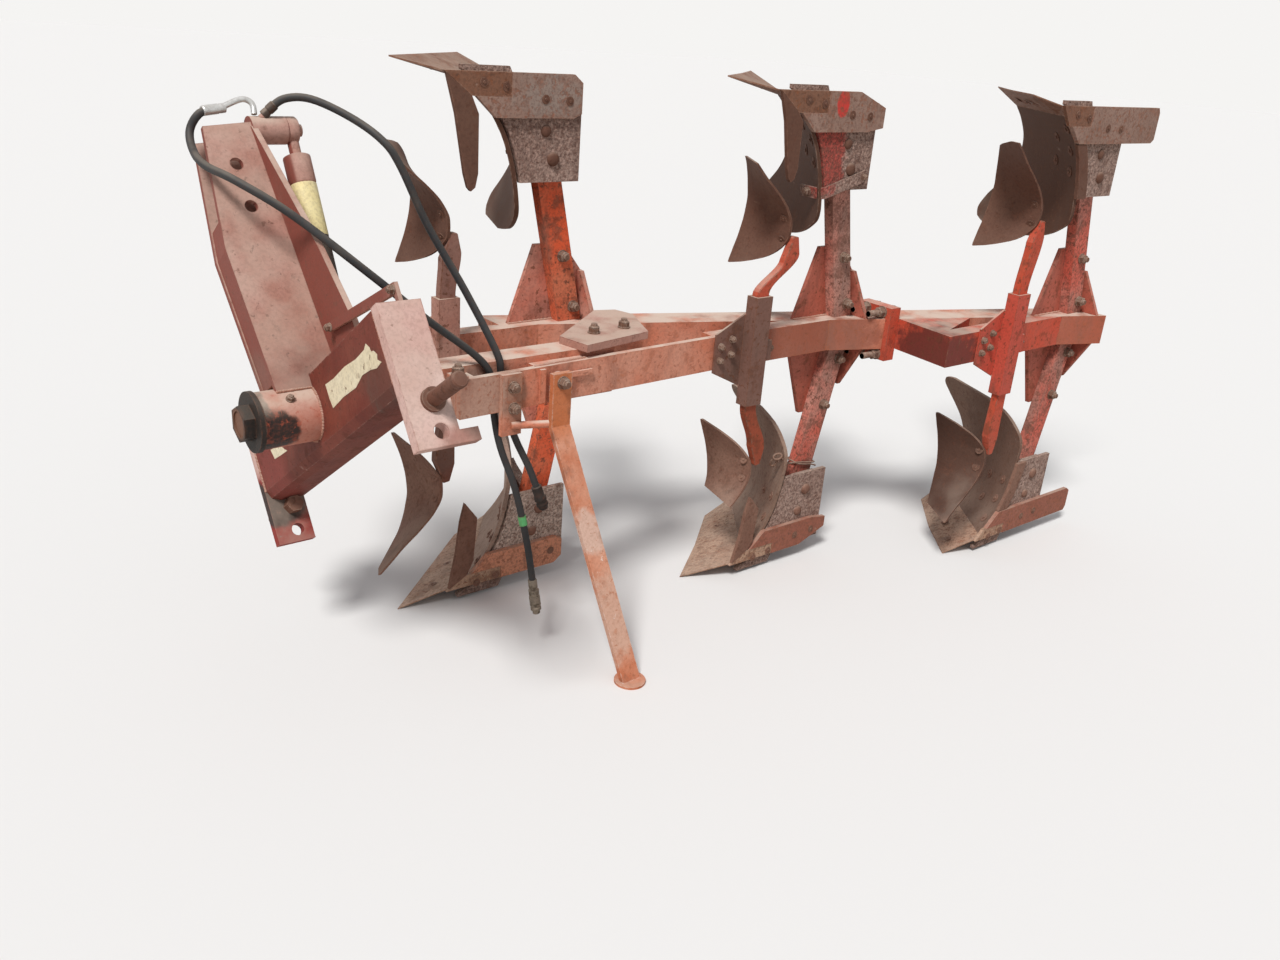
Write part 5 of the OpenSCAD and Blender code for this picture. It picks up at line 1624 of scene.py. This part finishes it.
@dataclass
class Hoses:
    """The two hydraulic hoses, the plated pipe and their end fittings."""

    palette: Palette
    diameter: float = 0.016
    pipe_radius: float = 0.006
    front_route: tuple[Point, ...] = (
        (328, -84, 1194), (367, -77, 1186), (388, -80, 1154), (395, -50, 1120), (396, 17, 1100),
        (370, 111, 1083), (290, 180, 1026), (160, 266, 909), (50, 265, 817), (-40, 280, 745), (-80, 284, 700),
        (-92, 284, 650), (-96, 284, 595), (-110, 290, 520), (-138, 312, 420), (-162, 330, 290),
        (-178, 340, 170))
    rear_route: tuple[Point, ...] = (
        (236, -66, 1192), (205, -55, 1217), (160, -26, 1220), (105, 35, 1192), (65, 95, 1154),
        (38, 119, 1107), (-5, 156, 989), (-60, 215, 861), (-100, 280, 740), (-110, 284, 695),
        (-120, 284, 640), (-128, 284, 595), (-150, 291, 530), (-180, 304, 460), (-204, 312, 392))
    pipe_route: tuple[Point, ...] = ((262, -71, 1185), (262, -81, 1205), (282, -86, 1212), (325, -84, 1195))
    coupling_profile: tuple[Place, ...] = (
        (-24, 9.4), (-22, 10.6), (-2, 10.6), (0, 9), (3, 9), (4, 12.4), (16, 12.4), (17, 10.5), (20, 10.5),
        (21, 13), (44, 13), (46, 11.5), (49, 11.5), (50, 12.6), (56, 12.6), (58, 9), (66, 9), (68, 6.5))
    cap_profile: tuple[Place, ...] = (
        (-26, 9.6), (-24, 12), (2, 12.5), (5, 14.5), (11, 14.5), (14, 12.5), (18, 12.5), (21, 14), (26, 14),
        (29, 12), (34, 11), (38, 7))
    tape_reach: tuple[float, float] = (0.165, 0.198)
    front_bend: tuple[Point, Point] = ((330, 130, 1060), (-60, 282, 725))
    rear_bend: tuple[Point, Point] = ((70, 80, 1160), (-95, 270, 760))

    def hose(self, name: str, route: Sequence[Point]) -> tuple[Piece, list[Vector], float]:
        """One hose.

        Args:
            name: Its name.
            route: The places that it passes, from its upper end.

        Returns:
            Its tube, its path and its length in metres.
        """
        path = smooth_path([spot(*p) for p in route], 6)
        length = sum((b - a).length for a, b in zip(path, path[1:]))
        return tube(name, path, self.diameter / 2, self.palette["hose_rubber"]), path, length

    def tape(self, path: list[Vector]) -> Piece:
        """The tape round a hose, at its own distances from the path's end.

        Args:
            path: The hose's path.

        Returns:
            The tape.
        """
        near, far = self.tape_reach
        back, travelled, chosen = list(reversed(path)), 0.0, []
        for a, b in zip(back, back[1:]):
            if near <= travelled <= far:
                chosen.append(a.copy())
            travelled += (b - a).length
        return tube("green_tape_band", chosen, self.diameter / 2 + 0.0014, self.palette["green_tape"])

    def build(self) -> None:
        front, front_path, front_length = self.hose("front_hose_tube", self.front_route)
        rear, rear_path, rear_length = self.hose("rear_hose_tube", self.rear_route)
        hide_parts("front_hose")
        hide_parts("rear_hose")
        pipe_path = smooth_path([spot(*p) for p in self.pipe_route], 8)
        pipe = tube("bent_pipe", pipe_path, self.pipe_radius, self.palette["plated_pipe"])
        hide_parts("hose_pipe")
        settle(pipe, Body.HEADSTOCK, "pipe_steel")
        coupling = turned("quick_coupling", self.coupling_profile, front_path[-1],
                          front_path[-1] - front_path[-3], self.palette["worn_brass"], 24)
        settle(coupling, Body.FRAME, "pipe_steel")
        tape = settle(self.tape(front_path), Body.FRAME, "hose_rubber")
        cap = turned("rubber_end_cap", self.cap_profile, rear_path[-1], rear_path[-1] - rear_path[-3],
                     self.palette["black_grease"])
        settle(cap, Body.FRAME, "hose_rubber")
        for piece, path, length, bend, end_pieces in (
                (front, front_path, front_length, self.front_bend, [coupling, tape]),
                (rear, rear_path, rear_length, self.rear_bend, [cap])):
            start, stop = (spot(*p) for p in bend)
            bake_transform(piece, Body.HEADSTOCK.value, Body.FRAME.value, start=start, end=stop)
            tuple(path[0])
            [tuple(p) for p in path]
            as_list(end_pieces)
            LOG.info("%s is %.3f m long", piece.name, length)
        self.upper_fittings(front_path, rear_path)

    def upper_fittings(self, front_path: list[Vector], rear_path: list[Vector]) -> None:
        """Crimped ends and nuts where the hoses meet the pipe and the mast.

        Args:
            front_path: The front hose's path.
            rear_path: The rear hose's path.
        """
        parts = []
        for label, path, grip, finish in (("pipe_joint", front_path, 34, "plated_pipe"),
                                          ("mast_joint", rear_path, 18, "dark_iron")):
            profile = ((-13, 6.8), (-12, 9.6), (-2, 9.6), (-1, 9.0), (2, 9.0), (3, 10.2), (grip, 10.2),
                       (grip + 2, 8.6))
            parts.append(turned(label, profile, path[0], path[2] - path[0], self.palette[finish], 16))
        settle(join("hose_end_fittings", parts), Body.HEADSTOCK, "pipe_steel")


@dataclass
class TurnoverCylinder:
    """Barrel with its red cap, pale band and dark lower part."""

    palette: Palette
    pivot: Point = (-68.0, 20.0, 592.0)
    tilt: float = math.radians(7.0794)
    sections: tuple[tuple[str, str, tuple[Place, ...]], ...] = (
        ("barrel_cap", "faded_paint",
         ((55, 12), (55.5, 25), (57, 27.5), (60, 28.2), (110, 28.2), (114, 27.2), (117, 26))),
        ("barrel_neck", "faded_paint", ((21, 11.9), (56, 11.9))),
        ("barrel_band", "yellow_band", ((115, 26.4), (117, 27.6), (226, 27.6), (229, 26.6))),
        ("barrel_lower", "dark_iron",
         ((226, 27.4), (372, 27.4), (373, 28.2), (398, 28.2), (400, 26), (400, 15))))
    eye_profile: tuple[Place, ...] = ((-12, 20), (-11, 26), (-8, 28), (8, 28), (11, 26), (12, 20))

    def build(self) -> None:
        """Turn the barrel and let it stand for the CAD node."""
        start = head_spot(*self.pivot)
        down = head_way(0, -math.sin(self.tilt), -math.cos(self.tilt))
        parts = [turned(name, profile, start, down, self.palette[finish])
                 for name, finish, profile in self.sections]
        parts.append(turned("barrel_eye", self.eye_profile, start, Vector((1, 0, 0)),
                            self.palette["faded_paint"]))
        piece = join("cylinder_barrel_skin", parts)
        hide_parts("cylinder_barrel")
        settle(piece, Body.BARREL, "faded_red")


@dataclass
class HeadDetails:
    """Blank label, its remains and the far pin's end cap on the headstock."""

    palette: Palette
    front_x: float = 47.1
    film: float = 0.6
    label: tuple[Place, ...] = (
        (106, 24), (150, 21), (214, 23), (268, 18), (313, 20), (325, 27), (335, 17), (337, 8), (347, 6),
        (357, -4), (352, -12), (365, -21), (340, -24), (314, -18), (276, -15), (236, -25), (170, -22),
        (111, -25), (107, -6))
    remains: tuple[Place, ...] = (
        (-284, 2), (-248, -2), (-215, -9), (-200, -20), (-186, -27), (-230, -25), (-273, -22))
    pin_end: Point = (0.0, 412.5, -112.0)
    pin_profile: tuple[Place, ...] = ((100, 14.2), (101, 14.7), (111, 14.7), (114, 12.4), (114.4, 8))

    def build(self) -> None:
        """Add the thin pieces of the headstock."""
        def place(along: float, up: float, depth: float) -> Vector:
            """A place on the crossbar's front, at a depth over it."""
            return head_spot(self.front_x + depth, along, up)

        films = [plate(name, outline, place, self.film, self.palette["cream_film"])
                 for name, outline in (("blank_label", self.label), ("label_remains", self.remains))]
        settle(join("label_film", films), Body.HEADSTOCK, "faded_red")
        cap = turned("pin_end_cap", self.pin_profile, head_spot(*self.pin_end), head_way(0, 1, 0),
                     self.palette["pin_iron"])
        settle(cap, Body.HEADSTOCK, "dark_steel")


@dataclass
class SmallGear:
    """Band clamp on the middle upper body, chain and wire on the lower one, and the bar's front lug."""

    palette: Palette
    bolts: FastenerSet
    chain_route: tuple[Point, ...] = (
        (-322, 13, 292), (-312, 17, 304), (-300, 19, 316), (-288, 17, 324), (-280, 12, 318), (-282, 6, 302))
    wire_route: tuple[Point, ...] = (
        (-322, 12, 292), (-380, 8, 284), (-444, 8, 273), (-456, 0, 271), (-456, -24, 272), (-446, -31, 274),
        (-392, -31, 284), (-372, -24, 287), (-371, 0, 286), (-384, 8.5, 279), (-440, 9, 267), (-455, 12, 262))
    band_route: tuple[Place, ...] = (
        (-296, -32), (-294, 20), (-297, 36), (-304, 43), (-320, 44), (-430, 44), (-448, 43), (-455, 36),
        (-457, 20), (-457, -32))
    band_start: Place = (-304, 266)
    band_slope: float = 0.27
    band_across: Point = (0.26, 0.0, 1.0)
    band_width: float = 0.03
    band_thickness: float = 0.005
    band_bolts: tuple[tuple[Point, Point, float], ...] = (
        ((-291, -4, 268), (1, 0.1, 0), 1.1), ((-440, 46.5, 229), (0, 1, 0), 0.8))
    lug_outline: tuple[Place, ...] = ((-12, 276), (18, 276), (18, 318), (-12, 318))
    lug_thickness: float = 8.0

    def build(self) -> None:
        """Make the small pieces of the frame."""
        self.band(UPPER[1])
        metal = self.palette["bolt_steel"]
        line = polyline("chain_line", [[LOWER[1].spot(*p) for p in self.chain_route]])
        chain = run_tree(line, chain_tree(), {"Pitch": 0.02, "Wire": 0.0034, "Material": metal}, "leg_chain")
        loop = polyline("wire_line", [smooth_path([LOWER[1].spot(*p) for p in self.wire_route], 6)])
        wire = run_tree(loop, wire_tree(), {"Radius": 0.0024, "Material": metal}, "leg_wire")
        for piece in (chain, wire):
            piece.data.shade_smooth()
            settle(piece, Body.FRAME, "dark_steel")

        def place(x: float, y: float, depth: float) -> Vector:
            """A place on the bar's top, at a height over it."""
            return spot(x, y, AXIS_Z + BAR_HALF + depth)

        lug = plate("front_lug", self.lug_outline, place, self.lug_thickness, self.palette["worn_paint"])
        settle(soften(lug, 0.001), Body.FRAME, "worn_red")

    def band(self, body: PloughBody) -> None:
        """The band clamp round a frog, with its tightening bolts.

        Args:
            body: The plough body.
        """
        start, height = self.band_start
        path = [body.spot(x, y, height + (x - start) * self.band_slope) for x, y in self.band_route]
        strip = ribbon("frog_band", path, Vector(self.band_across), self.band_width, self.band_thickness,
                       self.palette["pitted_rust"])
        settle(soften(strip, 0.0008), Body.FRAME, "plate_rust")
        for place, way, size in self.band_bolts:
            self.bolts.add(Body.FRAME, FastenerKind.SMALL, body.spot(*place), way, size)


# The finish of every node that stays as it was packed
NODE_FINISH = {
    "front_bar": "worn_paint", "middle_bar": "worn_paint", "rear_bar": "vivid_paint",
    "turnover_box": "worn_paint", "bridge_plate": "faded_paint", "diagonal_beam": "worn_paint",
    "rear_cross_member": "vivid_paint", "flanges": "vivid_paint", "leg_gussets": "gusset_paint",
    "front_legs": "orange_paint", "middle_legs": "leg_paint", "rear_legs": "leg_paint",
    "frogs": "pitted_rust", "landsides": "landside_rust", "front_shares": "share_metal",
    "middle_shares": "share_metal", "rear_shares": "share_metal", "share_knives": "skim_steel",
    "skim_sleeves": "sleeve_paint", "turnover_shaft": "black_grease", "shaft_nut": "black_grease",
    "hose_bracket": "worn_paint", "stand_bracket": "worn_paint", "stand": "stand_paint",
    "mast": "faded_paint", "hub_tube": "hub_paint", "crossbar": "crossbar_paint",
    "link_plates": "link_paint", "link_pins": "pin_iron", "strap": "faded_paint",
    "cylinder_rod": "rod_chrome"}


def dress_nodes(nodes: dict[str, Piece], palette: Palette) -> None:
    """Give every CAD node that stays its finish.

    Args:
        nodes: The nodes by name.
        palette: The finishes.
    """
    for name, finish in NODE_FINISH.items():
        nodes[name].data.materials.clear()
        nodes[name].data.materials.append(palette[finish])
        LOG.info("%s is dressed in %s", name, finish)


@dataclass
class Studio:
    """Camera, floor and plain soft light."""

    eye: Point = (1111.747, 2216.073, 1414.973)
    right: Point = (-0.779498, 0.622368, 0.071000)
    down: Point = (0.190680, 0.343719, -0.919510)
    forward: Point = (-0.596678, -0.703218, -0.386601)
    focal_share: float = 1094.062 / 1280
    floor_reach: float = 40.0
    floor_lit: Colour = (196, 192, 186)
    floor_seen: Colour = (228, 226, 223)
    sun_strength: float = 2.9
    sun_angle: float = 14.0
    sun_way: Point = (0.62, 0.36, 0.95)
    sky: tuple[float, ...] = (0.93, 0.95, 1.0, 1.0)
    sky_strength: float = 0.45
    sky_seen: tuple[float, ...] = (0.914, 0.905, 0.89, 1.0)

    def camera(self) -> None:
        """Set the camera where the photograph was taken from."""
        data = bpy.data.cameras.new("view")
        data.sensor_width = 36.0
        data.lens = self.focal_share * data.sensor_width
        data.clip_start = 0.05
        data.clip_end = 100.0
        camera = put("view", data)
        turn = Matrix((Vector(self.right), -Vector(self.down), -Vector(self.forward))).transposed()
        camera.matrix_world = Matrix.Translation(spot(*self.eye)) @ turn.to_4x4()
        bpy.context.scene.camera = camera

    def floor(self) -> None:
        """Lay the pale floor."""
        mesh = bpy.data.meshes.new("floor")
        corners = [(x * self.floor_reach, y * self.floor_reach, 0)
                   for x, y in ((-1, -1), (1, -1), (1, 1), (-1, 1))]
        mesh.from_pydata(corners, [], [(0, 1, 2, 3)])
        material = bpy.data.materials.new("pale_floor")
        material.use_nodes = True
        shader = material.node_tree.nodes["Principled BSDF"]
        sketch = Sketch(material.node_tree)
        seen = sketch.node("ShaderNodeLightPath").outputs["Is Camera Ray"]
        colour = sketch.mix(seen, tint(*self.floor_lit), tint(*self.floor_seen))
        material.node_tree.links.new(colour, shader.inputs["Base Color"])
        shader.inputs["Roughness"].default_value = 0.9
        mesh.materials.append(material)
        put("floor", mesh)

    def light(self) -> None:
        """Set the lamp, the world and the view."""
        sun = bpy.data.lights.new("key", "SUN")
        sun.energy = self.sun_strength
        sun.angle = math.radians(self.sun_angle)
        put("key", sun).rotation_euler = Vector(self.sun_way).to_track_quat("Z", "Y").to_euler()
        world = bpy.data.worlds.new("sky")
        bpy.context.scene.world = world
        world.use_nodes = True
        sketch = Sketch(world.node_tree)
        sky = world.node_tree.nodes["Background"]
        sky.inputs["Color"].default_value = self.sky
        sky.inputs["Strength"].default_value = self.sky_strength
        seen = sketch.node("ShaderNodeBackground", {"Color": self.sky_seen, "Strength": 1.0})
        rays = sketch.node("ShaderNodeLightPath").outputs
        direct = sketch.math("MAXIMUM", sketch.math("MAXIMUM", rays["Is Camera Ray"], rays["Is Glossy Ray"]),
                             rays["Is Transmission Ray"])
        both = sketch.node("ShaderNodeMixShader", {0: direct, 1: sky, 2: seen})
        world.node_tree.links.new(both.outputs[0], world.node_tree.nodes["World Output"].inputs["Surface"])
        bpy.context.scene.view_settings.view_transform = "Standard"


def main() -> None:
    """Build the whole scene."""
    logging.basicConfig(level=logging.INFO, format="%(message)s")
    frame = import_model()
    studio = Studio()
    studio.camera()
    palette = Palette()
    Hoses(palette).build()
    studio.floor()
    studio.light()
    dress_nodes(frame["nodes"], palette)
    bolts = FastenerSet(palette)
    Boards(palette, bolts).build()
    Fixings(palette, bolts).build()
    SmallGear(palette, bolts).build()
    bolts.build()
    Seams(palette).build()
    TurnoverCylinder(palette).build()
    HeadDetails(palette).build()


if __name__ == "__main__":
    main()
